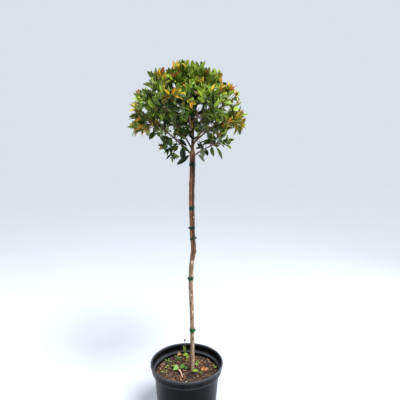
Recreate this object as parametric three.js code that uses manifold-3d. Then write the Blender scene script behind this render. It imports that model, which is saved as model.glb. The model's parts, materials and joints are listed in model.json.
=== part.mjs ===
// A standard lollipop topiary in its nursery pot: one slender trunk, bare to the fork, with a round, loosely
// clipped head of small glossy leaves on a few main boughs. The pot is plastic and filled with bark compost.
//
// Units are millimetres and +Z is up. The origin is the centre of the pot's flat underside, and the plant's
// front faces -Y. The trunk, each main bough, each mass of leaves, the pot, the compost and each tape tie
// round the trunk is one closed solid.

import * as THREE from "three";
import { mergeVertices } from "three/addons/utils/BufferGeometryUtils.js";
import Module from "manifold-3d";

const wasm = await Module();
wasm.setup();

// Clearance between solids that touch, and between the compost and the pot.
const GAP = 0.4;

// The pot: a tapered body, a ledge, a wider collar above it and a rounded lip.
const POT = {
  height: 226,
  footRadius: 90,
  bodyTopRadius: 108,
  ledgeHeight: 198,
  collarFootRadius: 116.5,
  collarTopRadius: 119,
  lipRadius: 121,
  lipHeight: 9,
  lipDepth: 6,
  lipSteps: 4,
  wall: 2.8,
  floor: 3,
  edge: 2,
  facets: 32,
  drainHoles: 6,
  drainHoleRadius: 6,
  drainHoleFacets: 12,
  drainRingRadius: 64,
};

// The compost: nearly level, a little uneven, and flat where the trunk stands.
const SOIL = {
  level: 189,
  unevenness: 3.5,
  longWave: 21,
  shortWave: 13,
  rings: 5,
  flatRadius: 24,
};

// The trunk: its foot stands right of the pot's centre. Above the fork it goes on as the leader.
const TRUNK = {
  foot: new THREE.Vector2(18.5, 0),
  fork: new THREE.Vector2(20, 13),
  forkHeight: 925,
  tipHeight: 1165,
  tip: new THREE.Vector2(24, 12),
  stemRadius: 6.5,
  shoulderRadius: 8.3,
  leaderRadius: 5,
  forkBelow: 10,
  forkAbove: 22,
  tipRadius: 2.2,
  flare: 1.3,
  flareHeight: 12,
  lobe: 0.13,
  turns: 0.12,
  sides: 12,
  rings: 33,
};

// Bends that carry the trunk off the straight line: height, reach along the trunk, and shift in x and y.
const BENDS = [
  { height: 490, reach: 95, x: -5, y: 3 },
  { height: 602, reach: 34, x: 5, y: -1 },
  { height: 770, reach: 70, x: -2.5, y: -3 },
];

// Heights of the tape ties, from the ground up.
const TIES = {
  heights: [330, 504, 640, 674, 741, 884],
  width: 12,
  thickness: 1.2,
  clearance: 0.7,
};

// Main boughs: height at the trunk, heading in degrees from +X, level reach, climb, arch and end radii.
const BOUGHS = [
  { name: "left", height: 915, heading: 188, reach: 124, climb: 103, arch: 6, thick: 3.4, thin: 1.9 },
  { name: "right", height: 952, heading: -4, reach: 114, climb: 90, arch: 6, thick: 3.2, thin: 1.8 },
  { name: "right_low", height: 910, heading: -12, reach: 86, climb: 44, arch: 5, thick: 2.6, thin: 1.6 },
  { name: "front", height: 968, heading: 262, reach: 96, climb: 76, arch: -6, thick: 3.1, thin: 1.8 },
  { name: "back_left", height: 932, heading: 128, reach: 104, climb: 98, arch: 8, thick: 3.3, thin: 1.8 },
  { name: "back_right", height: 945, heading: 52, reach: 104, climb: 92, arch: 6, thick: 3.3, thin: 1.8 },
  { name: "upper_left", height: 1052, heading: 196, reach: 62, climb: 66, arch: -6, thick: 2.6, thin: 1.7 },
];
const BOUGH_SIDES = 6;
const BOUGH_RINGS = 5;

// Masses of leaves: centre and half-sizes along x, y and z.
const MASSES = [
  { name: "top", centre: [12, 8, 1174], half: [62, 60, 48] },
  { name: "upper_left", centre: [-60, -34, 1146], half: [52, 56, 48] },
  { name: "upper_right", centre: [80, -26, 1142], half: [52, 56, 48] },
  { name: "left", centre: [-120, -6, 1080], half: [52, 64, 52] },
  { name: "left_low", centre: [-138, 4, 1022], half: [48, 54, 36] },
  { name: "front_left", centre: [-34, -102, 1070], half: [62, 66, 52] },
  { name: "front_right", centre: [80, -96, 1066], half: [50, 62, 50] },
  { name: "right", centre: [134, 2, 1106], half: [46, 62, 46] },
  { name: "right_low", centre: [150, 8, 1034], half: [47, 58, 42] },
  { name: "under_left", centre: [-42, -36, 952], half: [42, 44, 60] },
  { name: "under_right", centre: [94, -36, 966], half: [50, 44, 42] },
  { name: "back_left", centre: [-80, 112, 1060], half: [72, 72, 70] },
  { name: "back_right", centre: [98, 112, 1062], half: [74, 74, 70] },
  { name: "back_top", centre: [10, 96, 1134], half: [68, 64, 50] },
];
const MASS = { detail: 3, unevenness: 0.1, lumps: 5, lumpWaves: 9, firstSeed: 11, seedStep: 97 };

const COLOURS = {
  pot: 0x1c1d20,
  soil: 0x4d3529,
  trunk: 0x7d5c42,
  bough: 0x6b4030,
  leaves: 0x4c6a2c,
  tie: 0x0f5a3a,
};

function material(colour, roughness) {
  return new THREE.MeshStandardMaterial({ color: colour, roughness, metalness: 0 });
}

// A geometry with shared vertices and positions only, as a closed solid needs.
function closed(geometry) {
  geometry.deleteAttribute("normal");
  geometry.deleteAttribute("uv");
  return mergeVertices(geometry, 1e-3);
}

function solidOf(geometry) {
  const source = closed(geometry);
  const vertProperties = source.attributes.position.array;
  const triVerts = new Uint32Array(source.index.array);
  return new wasm.Manifold(new wasm.Mesh({ numProp: 3, vertProperties, triVerts }));
}

function geometryOf(solid) {
  const { vertProperties, triVerts } = solid.getMesh();
  const geometry = new THREE.BufferGeometry();
  geometry.setAttribute("position", new THREE.BufferAttribute(vertProperties, 3));
  geometry.setIndex(new THREE.BufferAttribute(triVerts, 1));
  return geometry;
}

function largestBody(solid) {
  const bodies = solid.decompose();
  return bodies.reduce((best, body) => (body.volume() > best.volume() ? body : best));
}

// Moves every vertex of a geometry to the place that a function gives for it.
function reshape(geometry, place) {
  const positions = geometry.attributes.position;
  const vertex = new THREE.Vector3();
  for (let i = 0; i < positions.count; i += 1) {
    vertex.fromBufferAttribute(positions, i);
    const moved = place(vertex);
    positions.setXYZ(i, moved.x, moved.y, moved.z);
  }
  return geometry;
}

// A seeded random number between 0 and 1, so that each build gives the same shapes.
function seededRandom(seed) {
  let state = seed;
  return () => {
    state = (state * 16807) % 2147483647;
    return state / 2147483647;
  };
}

// A profile of radius and height, turned about the Z axis.
function turned(profile, facets) {
  const points = profile.map(([radius, height]) => new THREE.Vector2(radius, height));
  return new THREE.LatheGeometry(points, facets).rotateX(Math.PI / 2);
}

function potInnerRadius(height) {
  const share = height / POT.ledgeHeight;
  return THREE.MathUtils.lerp(POT.footRadius, POT.bodyTopRadius, share) - POT.wall;
}

function potGeometry() {
  const lipFoot = POT.height - POT.lipHeight;
  const lipMiddle = POT.lipRadius - POT.lipDepth / 2;
  const lipTurn = POT.lipDepth / 2;
  const lip = [];
  for (let i = 0; i <= POT.lipSteps; i += 1) {
    const angle = (i * Math.PI) / POT.lipSteps;
    const radius = lipMiddle + lipTurn * Math.cos(angle);
    lip.push([radius, POT.height - lipTurn + lipTurn * Math.sin(angle)]);
  }
  const profile = [
    [0, 0],
    [POT.footRadius - POT.edge, 0],
    [POT.footRadius, POT.edge],
    [POT.bodyTopRadius, POT.ledgeHeight],
    [POT.collarFootRadius, POT.ledgeHeight + POT.edge],
    [POT.collarTopRadius, lipFoot],
    [POT.lipRadius, lipFoot + POT.edge],
    ...lip,
    [POT.collarTopRadius - POT.wall, lipFoot],
    [POT.collarFootRadius - POT.wall, POT.ledgeHeight + 2 * POT.edge],
    [potInnerRadius(POT.ledgeHeight + POT.edge), POT.ledgeHeight + POT.edge],
    [potInnerRadius(POT.floor), POT.floor],
    [0, POT.floor],
  ];
  let pot = solidOf(turned(profile, POT.facets));
  for (let i = 0; i < POT.drainHoles; i += 1) {
    const angle = (i * 2 * Math.PI) / POT.drainHoles;
    const length = 4 * POT.floor;
    const hole = new THREE.CylinderGeometry(
      POT.drainHoleRadius,
      POT.drainHoleRadius,
      length,
      POT.drainHoleFacets,
    );
    hole.rotateX(Math.PI / 2);
    hole.translate(POT.drainRingRadius * Math.cos(angle), POT.drainRingRadius * Math.sin(angle), 0);
    pot = pot.subtract(solidOf(hole));
  }
  return geometryOf(pot);
}

// How far the compost stands above or below its level at a place, and nothing under the trunk.
function soilRise(x, y) {
  const away = Math.hypot(x - TRUNK.foot.x, y - TRUNK.foot.y);
  const fade = THREE.MathUtils.smoothstep(away, SOIL.flatRadius, 2 * SOIL.flatRadius);
  const swell = Math.sin(x / SOIL.longWave + 1) * Math.cos(y / SOIL.longWave);
  const ripple = Math.sin((x + y) / SOIL.shortWave) / 2;
  return SOIL.unevenness * fade * (swell + ripple);
}

function soilGeometry() {
  const foot = POT.floor + GAP;
  const topRadius = potInnerRadius(SOIL.level) - GAP;
  const profile = [
    [0, foot],
    [potInnerRadius(foot) - GAP, foot],
  ];
  for (let i = SOIL.rings; i >= 0; i -= 1) {
    profile.push([(topRadius * i) / SOIL.rings, SOIL.level]);
  }
  return reshape(turned(profile, POT.facets), (vertex) => {
    const radius = Math.hypot(vertex.x, vertex.y);
    const inner = radius < topRadius - 1 && vertex.z > foot + 1;
    const rise = inner ? soilRise(vertex.x, vertex.y) : 0;
    return new THREE.Vector3(vertex.x, vertex.y, vertex.z + rise);
  });
}

// Centre of the trunk at a height: a lean from foot to fork to tip, with the bends added.
function trunkCentre(height) {
  const stem = THREE.MathUtils.inverseLerp(SOIL.level, TRUNK.forkHeight, height);
  const leader = THREE.MathUtils.inverseLerp(TRUNK.forkHeight, TRUNK.tipHeight, height);
  const centre = TRUNK.foot.clone().lerp(TRUNK.fork, Math.min(stem, 1));
  centre.addScaledVector(TRUNK.tip.clone().sub(TRUNK.fork), Math.max(leader, 0));
  for (const bend of BENDS) {
    const strength = Math.exp(-(((height - bend.height) / bend.reach) ** 2));
    centre.x += bend.x * strength;
    centre.y += bend.y * strength;
  }
  return new THREE.Vector3(centre.x, centre.y, height);
}

// Mean radius of the trunk: a flare at the foot, a thicker shoulder below the fork, then the thin leader.
function trunkRadius(height) {
  const stemShare = THREE.MathUtils.inverseLerp(SOIL.level, TRUNK.forkHeight, height);
  const stem = THREE.MathUtils.lerp(TRUNK.stemRadius, TRUNK.shoulderRadius, stemShare);
  const leaderShare = THREE.MathUtils.inverseLerp(TRUNK.forkHeight, TRUNK.tipHeight, height);
  const leader = THREE.MathUtils.lerp(TRUNK.leaderRadius, TRUNK.tipRadius, leaderShare);
  const forkStart = TRUNK.forkHeight - TRUNK.forkBelow;
  const aboveFork = THREE.MathUtils.smoothstep(height, forkStart, TRUNK.forkHeight + TRUNK.forkAbove);
  const flare = TRUNK.flare * Math.exp((SOIL.level - height) / TRUNK.flareHeight);
  return THREE.MathUtils.lerp(stem, leader, aboveFork) + flare;
}

// The trunk's section is softly two-lobed, and turns slowly as it climbs.
function trunkPoint(height, angle, grow) {
  const share = (height - SOIL.level) / (TRUNK.forkHeight - SOIL.level);
  const lobe = 1 + TRUNK.lobe * Math.cos(2 * (angle - (share - 1) * TRUNK.turns * 2 * Math.PI));
  const radius = trunkRadius(height) * lobe + grow;
  const centre = trunkCentre(height);
  return new THREE.Vector3(centre.x + radius * Math.cos(angle), centre.y + radius * Math.sin(angle), height);
}

function trunkGeometry(grow) {
  const foot = SOIL.level + GAP;
  const geometry = new THREE.CylinderGeometry(1, 1, 1, TRUNK.sides, TRUNK.rings);
  return reshape(geometry, (vertex) => {
    const height = THREE.MathUtils.lerp(foot, TRUNK.tipHeight, vertex.y + 0.5);
    if (Math.hypot(vertex.x, vertex.z) < 0.5) {
      return trunkCentre(height);
    }
    return trunkPoint(height, Math.atan2(-vertex.z, vertex.x), grow);
  });
}

// A band of tape wound once round the trunk.
function tieGeometry(height) {
  const profile = [
    [TIES.clearance, 0],
    [TIES.clearance + TIES.thickness, 0],
    [TIES.clearance + TIES.thickness, TIES.width],
    [TIES.clearance, TIES.width],
    [TIES.clearance, 0],
  ];
  const ring = turned(
    profile.map(([offset, rise]) => [1 + offset, rise]),
    TRUNK.sides,
  );
  return reshape(ring, (vertex) => {
    const offset = Math.hypot(vertex.x, vertex.y) - 1;
    const level = height - TIES.width / 2 + vertex.z;
    return trunkPoint(level, Math.atan2(vertex.y, vertex.x), offset);
  });
}

// The course of a bough: out from the trunk's middle, arching or sagging between its two ends.
function boughCourse(bough) {
  const heading = THREE.MathUtils.degToRad(bough.heading);
  const outward = new THREE.Vector3(Math.cos(heading), Math.sin(heading), 0);
  const start = trunkCentre(bough.height);
  const end = start.clone().addScaledVector(outward, bough.reach);
  end.z += bough.climb;
  const middle = start.clone().lerp(end, 0.5);
  middle.z += 2 * bough.arch;
  return new THREE.QuadraticBezierCurve3(start, middle, end);
}

function boughGeometry(bough, grow) {
  const course = boughCourse(bough);
  const frames = course.computeFrenetFrames(BOUGH_RINGS, false);
  const geometry = new THREE.CylinderGeometry(1, 1, 1, BOUGH_SIDES, BOUGH_RINGS);
  return reshape(geometry, (vertex) => {
    const share = vertex.y + 0.5;
    const ring = Math.round(share * BOUGH_RINGS);
    const angle = Math.atan2(-vertex.z, vertex.x);
    const side = Math.hypot(vertex.x, vertex.z);
    const radius = side * (THREE.MathUtils.lerp(bough.thick, bough.thin, share) + grow);
    return course
      .getPointAt(share)
      .addScaledVector(frames.normals[ring], radius * Math.cos(angle))
      .addScaledVector(frames.binormals[ring], radius * Math.sin(angle))
      .addScaledVector(frames.tangents[ring], grow * (2 * share - 1));
  });
}

// An uneven round mass. Its lumps are smooth waves over the directions from its centre.
function massGeometry(mass, seed, grow) {
  const random = seededRandom(seed);
  const waves = [];
  for (let i = 0; i < MASS.lumps; i += 1) {
    const direction = new THREE.Vector3(random() - 0.5, random() - 0.5, random() - 0.5);
    waves.push({ direction: direction.multiplyScalar(MASS.lumpWaves), phase: 2 * Math.PI * random() });
  }
  const centre = new THREE.Vector3(...mass.centre);
  const half = new THREE.Vector3(...mass.half);
  const geometry = new THREE.IcosahedronGeometry(1, MASS.detail);
  return reshape(geometry, (vertex) => {
    const outward = vertex.clone().normalize();
    let swell = 1;
    for (const wave of waves) {
      swell += (MASS.unevenness * Math.sin(wave.direction.dot(outward) + wave.phase)) / Math.sqrt(MASS.lumps);
    }
    return outward.clone().multiply(half).multiplyScalar(swell).addScaledVector(outward, grow).add(centre);
  });
}

const topiary = new THREE.Group();

function add(name, geometry, finish) {
  const mesh = new THREE.Mesh(geometry, finish);
  mesh.name = name;
  topiary.add(mesh);
}

add("pot", potGeometry(), material(COLOURS.pot, 0.45));
add("soil", soilGeometry(), material(COLOURS.soil, 0.95));
add("trunk", closed(trunkGeometry(0)), material(COLOURS.trunk, 0.85));
TIES.heights.forEach((height, index) => {
  add(`tie_${index + 1}`, closed(tieGeometry(height)), material(COLOURS.tie, 0.5));
});

// A bough's foot is cut round the trunk, so that it sits against the bark.
const trunkClear = solidOf(trunkGeometry(GAP));
const limbsClear = [trunkClear];
for (const bough of BOUGHS) {
  const limb = largestBody(solidOf(boughGeometry(bough, 0)).subtract(trunkClear));
  add(`bough_${bough.name}`, geometryOf(limb), material(COLOURS.bough, 0.8));
  limbsClear.push(solidOf(boughGeometry(bough, GAP)));
}

// Each mass gives way to the limbs that run through it and to the masses made before it.
const massesClear = [];
MASSES.forEach((mass, index) => {
  const seed = MASS.firstSeed + MASS.seedStep * index;
  let leaves = solidOf(massGeometry(mass, seed, 0));
  for (const other of [...limbsClear, ...massesClear]) {
    leaves = leaves.subtract(other);
  }
  add(`leaves_${mass.name}`, geometryOf(largestBody(leaves)), material(COLOURS.leaves, 0.6));
  massesClear.push(solidOf(massGeometry(mass, seed, GAP)));
});

export default topiary;
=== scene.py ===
import json
import math
import random

import bmesh
import bpy
from mathutils import Matrix, Vector, noise
from mathutils.bvhtree import BVHTree

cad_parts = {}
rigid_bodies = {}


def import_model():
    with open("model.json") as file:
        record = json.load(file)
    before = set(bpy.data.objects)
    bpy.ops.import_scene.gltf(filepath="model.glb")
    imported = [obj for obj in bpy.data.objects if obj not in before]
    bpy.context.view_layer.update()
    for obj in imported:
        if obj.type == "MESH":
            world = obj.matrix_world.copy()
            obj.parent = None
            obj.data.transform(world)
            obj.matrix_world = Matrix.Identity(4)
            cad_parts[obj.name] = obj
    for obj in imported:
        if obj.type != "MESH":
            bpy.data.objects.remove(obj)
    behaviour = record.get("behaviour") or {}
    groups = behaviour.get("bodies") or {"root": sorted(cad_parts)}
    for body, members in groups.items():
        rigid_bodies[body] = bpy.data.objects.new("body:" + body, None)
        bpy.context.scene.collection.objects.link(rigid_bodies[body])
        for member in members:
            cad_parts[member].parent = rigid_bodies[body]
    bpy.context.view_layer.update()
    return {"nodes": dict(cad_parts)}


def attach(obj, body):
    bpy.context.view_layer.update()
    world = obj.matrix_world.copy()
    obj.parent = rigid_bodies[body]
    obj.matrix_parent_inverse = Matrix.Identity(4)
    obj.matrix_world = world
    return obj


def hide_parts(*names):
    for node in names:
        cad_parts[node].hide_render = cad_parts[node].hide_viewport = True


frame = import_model()

# The setting: a plain pale floor under open, even daylight, with the plant seen from the front at about the
# height of its trunk's upper part. None of this belongs to the plant.
VIEW_PLACE = Vector((0, -1.166, 0.886))
VIEW_DOWN = math.radians(2.56)
VIEW_RIGHT = math.radians(2.18)

camera_data = bpy.data.cameras.new("camera")
camera_data.lens = 31.95
camera_data.sensor_width = 36
camera_data.shift_y = -0.05
camera = bpy.data.objects.new("camera", camera_data)
camera.location = VIEW_PLACE
camera.rotation_euler = (math.pi / 2 - VIEW_DOWN, 0, -VIEW_RIGHT)
bpy.context.scene.collection.objects.link(camera)
bpy.context.scene.camera = camera
bpy.context.scene.view_settings.view_transform = "Standard"

# The sky is seen as a pale backdrop, and lights the plant more dimly than it looks, so that the shade stays
# deep.
sky = bpy.data.worlds.new("daylight")
sky.use_nodes = True
sky_light = sky.node_tree.nodes["Background"]
sky_light.inputs["Color"].default_value = (0.93, 0.96, 1.0, 1)
sky_light.inputs["Strength"].default_value = 0.18
sky_seen = sky.node_tree.nodes.new("ShaderNodeBackground")
sky_seen.inputs["Color"].default_value = (0.70, 0.755, 0.835, 1)
sky_mix = sky.node_tree.nodes.new("ShaderNodeMixShader")
sky_rays = sky.node_tree.nodes.new("ShaderNodeLightPath")
sky.node_tree.links.new(sky_rays.outputs["Is Camera Ray"], sky_mix.inputs["Fac"])
sky.node_tree.links.new(sky_light.outputs["Background"], sky_mix.inputs[1])
sky.node_tree.links.new(sky_seen.outputs["Background"], sky_mix.inputs[2])
sky.node_tree.links.new(sky_mix.outputs["Shader"], sky.node_tree.nodes["World Output"].inputs["Surface"])
bpy.context.scene.world = sky


def soft_light(name, place, aim, width, height, power):
    light = bpy.data.lights.new(name, "AREA")
    light.shape = "RECTANGLE"
    light.size = width
    light.size_y = height
    light.energy = power
    lamp = bpy.data.objects.new(name, light)
    lamp.location = place
    lamp.rotation_euler = (Vector(aim) - Vector(place)).to_track_quat("-Z", "Y").to_euler()
    lamp.visible_camera = False
    bpy.context.scene.collection.objects.link(lamp)


soft_light("top_light", (-0.5, 0.2, 3.4), (0, 0, 0.9), 1.8, 1.8, 50)
soft_light("left_panel", (-2.2, 0.45, 0.8), (0, 0, 0.4), 0.6, 2.0, 18.5)
soft_light("right_panel", (2.2, 0.35, 0.5), (0, 0, 0.3), 0.6, 1.4, 66)

key = bpy.data.lights.new("key_light", "SUN")
key.energy = 5.3
key.angle = math.radians(24)
key.color = (1.0, 0.97, 0.92)
key_lamp = bpy.data.objects.new("key_light", key)
key_lamp.rotation_euler = Vector((-0.42, 0.62, -1.0)).to_track_quat("-Z", "Y").to_euler()
bpy.context.scene.collection.objects.link(key_lamp)


def add_node(finish, kind, **settings):
    node = finish.node_tree.nodes.new(kind)
    for setting, value in settings.items():
        setattr(node, setting, value)
    return node


def join(finish, source, target):
    finish.node_tree.links.new(source, target)


def shader_of(finish):
    return finish.node_tree.nodes["Principled BSDF"]


# A new finish whose shader has one colour, one roughness and the other values given.
def new_finish(name, colour, roughness, **values):
    finish = bpy.data.materials.new(name)
    finish.use_nodes = True
    shader = shader_of(finish)
    shader.inputs["Base Color"].default_value = (*colour, 1)
    shader.inputs["Roughness"].default_value = roughness
    for socket, value in values.items():
        shader.inputs[socket.replace("_", " ")].default_value = value
    return finish


# Object coordinates stretched by a scale along each axis.
def stretched(finish, scale):
    coordinates = add_node(finish, "ShaderNodeTexCoord")
    mapping = add_node(finish, "ShaderNodeMapping")
    mapping.inputs["Scale"].default_value = scale
    join(finish, coordinates.outputs["Object"], mapping.inputs["Vector"])
    return mapping.outputs["Vector"]


def cloud(finish, vector, scale, detail=3, roughness=0.55):
    pattern = add_node(finish, "ShaderNodeTexNoise")
    pattern.inputs["Scale"].default_value = scale
    pattern.inputs["Detail"].default_value = detail
    pattern.inputs["Roughness"].default_value = roughness
    join(finish, vector, pattern.inputs["Vector"])
    return pattern.outputs[0]


def ramp(finish, factor, stops):
    node = add_node(finish, "ShaderNodeValToRGB")
    band = node.color_ramp
    while len(band.elements) < len(stops):
        band.elements.new(0.5)
    for element, (position, colour) in zip(band.elements, stops):
        element.position = position
        element.color = (*colour, 1) if len(colour) == 3 else colour
    join(finish, factor, node.inputs["Fac"])
    return node.outputs["Color"]


def paint(finish, colour):
    join(finish, colour, shader_of(finish).inputs["Base Color"])


# The finished mesh of a shape.
def mesh_of(name, shape):
    mesh = bpy.data.meshes.new(name)
    shape.to_mesh(mesh)
    shape.free()
    return mesh


floor_shape = bmesh.new()
bmesh.ops.create_circle(floor_shape, cap_ends=True, segments=64, radius=14)
floor = bpy.data.objects.new("floor", mesh_of("floor", floor_shape))
bpy.context.scene.collection.objects.link(floor)
floor_finish = new_finish("floor_paint", (0.482, 0.531, 0.613), 0.8)
floor_speckle = cloud(floor_finish, stretched(floor_finish, (1, 1, 1)), 3)
floor_tone = ramp(floor_finish, floor_speckle, [(0.3, (0.478, 0.526, 0.607)), (0.7, (0.487, 0.536, 0.619))])
paint(floor_finish, floor_tone)
floor.data.materials.append(floor_finish)

# The pot: one thin shell of black plastic, blow-moulded, with a ledge where the pots of a stack rest and a
# rolled lip above a wider collar. Six round drain holes are punched through its flat floor.
POT_HEIGHT = 0.226
POT_FOOT_RADIUS = 0.090
POT_BODY_TOP_RADIUS = 0.108
POT_LEDGE = 0.198
COLLAR_FOOT_RADIUS = 0.1165
COLLAR_TOP_RADIUS = 0.119
LIP_RADIUS = 0.121
LIP_HEIGHT = 0.009
LIP_DEPTH = 0.006
LIP_STEPS = 10
POT_WALL = 0.0028
POT_FLOOR = 0.003
POT_EDGE = 0.002
POT_STEPS = 144
DRAIN_HOLES = 6
DRAIN_HOLE_RADIUS = 0.006
DRAIN_RING_RADIUS = 0.064


def between(low, high, share):
    return low + (high - low) * share


# Puts a finished shape into the scene as one piece with its finishes. Edges sharper than an angle in degrees,
# if one is given, stay crisp.
def new_piece(name, shape, finishes, smooth=True, sharp_above=None):
    mesh = mesh_of(name, shape)
    for finish in finishes:
        mesh.materials.append(finish)
    for face in mesh.polygons:
        face.use_smooth = smooth
    if sharp_above:
        mesh.set_sharp_from_angle(angle=math.radians(sharp_above))
    piece = bpy.data.objects.new(name, mesh)
    bpy.context.scene.collection.objects.link(piece)
    return piece


# Applies a piece's modifiers, so that its mesh is the finished shape.
def settle(piece):
    bpy.context.view_layer.update()
    finished = piece.evaluated_get(bpy.context.evaluated_depsgraph_get())
    mesh = bpy.data.meshes.new_from_object(finished)
    piece.modifiers.clear()
    piece.data = mesh


# A shape turned about the upright axis from a profile of radius and height, its corners rounded if wanted.
def turned(profile, steps, rounded=0.0):
    shape = bmesh.new()
    corners = [shape.verts.new((radius, 0, height)) for radius, height in profile]
    for first, second in zip(corners, corners[1:]):
        shape.edges.new((first, second))
    if rounded:
        bmesh.ops.bevel(
            shape,
            geom=corners[1:-1],
            offset=rounded,
            segments=3,
            profile=0.5,
            affect="VERTICES",
            material=-1,
        )
    bmesh.ops.spin(
        shape,
        geom=shape.verts[:] + shape.edges[:],
        cent=(0, 0, 0),
        axis=(0, 0, 1),
        angle=2 * math.pi,
        steps=steps,
        use_merge=True,
    )
    bmesh.ops.remove_doubles(shape, verts=shape.verts, dist=1e-6)
    bmesh.ops.recalc_face_normals(shape, faces=shape.faces)
    return shape


def pot_inner_radius(height):
    return between(POT_FOOT_RADIUS, POT_BODY_TOP_RADIUS, height / POT_LEDGE) - POT_WALL


def pot_profile():
    lip_foot = POT_HEIGHT - LIP_HEIGHT
    lip_turn = LIP_DEPTH / 2
    lip = []
    for step in range(LIP_STEPS + 1):
        angle = math.pi * step / LIP_STEPS
        radius = LIP_RADIUS - lip_turn + lip_turn * math.cos(angle)
        lip.append((radius, POT_HEIGHT - lip_turn + lip_turn * math.sin(angle)))
    return [
        (0, 0),
        (POT_FOOT_RADIUS - POT_EDGE, 0),
        (POT_FOOT_RADIUS, POT_EDGE),
        (between(POT_FOOT_RADIUS, POT_BODY_TOP_RADIUS, 0.5), POT_LEDGE / 2),
        (POT_BODY_TOP_RADIUS, POT_LEDGE),
        (COLLAR_FOOT_RADIUS - POT_EDGE, POT_LEDGE),
        (COLLAR_FOOT_RADIUS, POT_LEDGE + POT_EDGE),
        (COLLAR_TOP_RADIUS, lip_foot),
        (LIP_RADIUS, lip_foot + POT_EDGE),
        *lip,
        (COLLAR_TOP_RADIUS - POT_WALL, lip_foot),
        (COLLAR_FOOT_RADIUS - POT_WALL, POT_LEDGE + 2 * POT_EDGE),
        (pot_inner_radius(POT_LEDGE + POT_EDGE), POT_LEDGE + POT_EDGE),
        (pot_inner_radius(POT_LEDGE / 2), POT_LEDGE / 2),
        (pot_inner_radius(POT_FLOOR), POT_FLOOR),
        (0, POT_FLOOR),
    ]


def grey(value):
    return (value, value, value)


def blend(finish, factor, first, second, mode="MIX"):
    node = add_node(finish, "ShaderNodeMix", data_type="RGBA", blend_type=mode)
    for socket, value in ((node.inputs[0], factor), (node.inputs[6], first), (node.inputs[7], second)):
        if isinstance(value, (tuple, float, int)):
            socket.default_value = (*value, 1) if isinstance(value, tuple) else value
        else:
            join(finish, value, socket)
    return node.outputs[2]


def relief(finish, height, distance, strength=1.0):
    bump = add_node(finish, "ShaderNodeBump")
    bump.inputs["Strength"].default_value = strength
    bump.inputs["Distance"].default_value = distance
    join(finish, height, bump.inputs["Height"])
    join(finish, bump.outputs["Normal"], shader_of(finish).inputs["Normal"])


# Height above the ground, as a share of the way from one level to another.
def level_share(finish, low, high):
    coordinates = add_node(finish, "ShaderNodeTexCoord")
    parts = add_node(finish, "ShaderNodeSeparateXYZ")
    span = add_node(finish, "ShaderNodeMapRange")
    span.inputs["From Min"].default_value = low
    span.inputs["From Max"].default_value = high
    join(finish, coordinates.outputs["Object"], parts.inputs["Vector"])
    join(finish, parts.outputs["Z"], span.inputs["Value"])
    return span.outputs["Result"]


pot_plastic = new_finish("pot_plastic", (0.004, 0.0042, 0.0048), 0.3, Specular_IOR_Level=0.095)
pot_streaks = cloud(pot_plastic, stretched(pot_plastic, (60, 60, 2.5)), 1, 4)
pot_level = level_share(pot_plastic, 0.0, POT_HEIGHT)
pot_black = ramp(
    pot_plastic,
    pot_streaks,
    [(0.35, (0.0012, 0.0013, 0.0015)), (0.58, (0.0020, 0.0021, 0.0024)), (0.8, (0.010, 0.0105, 0.011))],
)
pot_dust_spread = cloud(pot_plastic, stretched(pot_plastic, (30, 30, 14)), 1, 5, 0.65)
pot_dust_level = ramp(
    pot_plastic,
    pot_level,
    [(0.0, grey(0.5)), (0.3, grey(0.03)), (0.8, grey(0.05)), (0.92, grey(0.15)), (1.0, grey(0.05))],
)
pot_dust_patches = ramp(pot_plastic, pot_dust_spread, [(0.5, grey(0.0)), (0.78, grey(0.6))])
pot_dust = blend(pot_plastic, 1.0, pot_dust_level, pot_dust_patches, "MULTIPLY")
# Painted highlights: the ledge and the lip are painted a bluish grey, where they would catch the sky's
# reflection.
pot_painted_highlights = ramp(
    pot_plastic,
    level_share(pot_plastic, 0.0, POT_HEIGHT + 0.004),
    [
        (0.0, grey(0.0)),
        (0.856, grey(0.0)),
        (0.868, grey(0.9)),
        (0.886, grey(0.0)),
        (0.945, grey(0.0)),
        (0.975, grey(0.9)),
        (1.0, grey(1.0)),
    ],
)
pot_black_and_highlights = blend(pot_plastic, pot_painted_highlights, pot_black, (0.050, 0.058, 0.070))
paint(pot_plastic, blend(pot_plastic, pot_dust, pot_black_and_highlights, (0.13, 0.088, 0.06)))
pot_gloss = ramp(pot_plastic, pot_streaks, [(0.3, grey(0.24)), (0.8, grey(0.40))])
join(pot_plastic, pot_gloss, shader_of(pot_plastic).inputs["Roughness"])
relief(pot_plastic, pot_streaks, 0.0006, 0.35)

pot_shape = turned(pot_profile(), POT_STEPS, rounded=0.0006)
pot = new_piece("flower_pot", pot_shape, [pot_plastic], sharp_above=40)
punches = bmesh.new()
for index in range(DRAIN_HOLES):
    angle = 2 * math.pi * index / DRAIN_HOLES
    middle = Vector((DRAIN_RING_RADIUS * math.cos(angle), DRAIN_RING_RADIUS * math.sin(angle), 0))
    bmesh.ops.create_cone(
        punches,
        cap_ends=True,
        segments=24,
        radius1=DRAIN_HOLE_RADIUS,
        radius2=DRAIN_HOLE_RADIUS,
        depth=4 * POT_FLOOR,
        matrix=Matrix.Translation(middle),
    )
punch = new_piece("punch", punches, [pot_plastic])
cut = pot.modifiers.new("drain", "BOOLEAN")
cut.operation = "DIFFERENCE"
cut.solver = "EXACT"
cut.object = punch
settle(pot)
bpy.data.objects.remove(punch)
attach(pot, "root")
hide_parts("pot")

# The compost: shredded and chipped pine bark, red-brown to nearly black with a few pale splinters. It fills
# the pot to about 4 cm below the lip, a little uneven, and the plant is rooted in it.
SOIL_LEVEL = 0.189
SOIL_GAP = 0.0004
SOIL_UNEVENNESS = 0.0035
SOIL_LONG_WAVE = 0.021
SOIL_SHORT_WAVE = 0.013
SOIL_FLAT_RADIUS = 0.024
SOIL_STEPS = 132
SOIL_RINGS = 45
SOIL_LUMPS = 0.0024
TRUNK_FOOT = Vector((0.0185, 0.0))
SOIL_TOP_RADIUS = pot_inner_radius(SOIL_LEVEL) - SOIL_GAP


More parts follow.
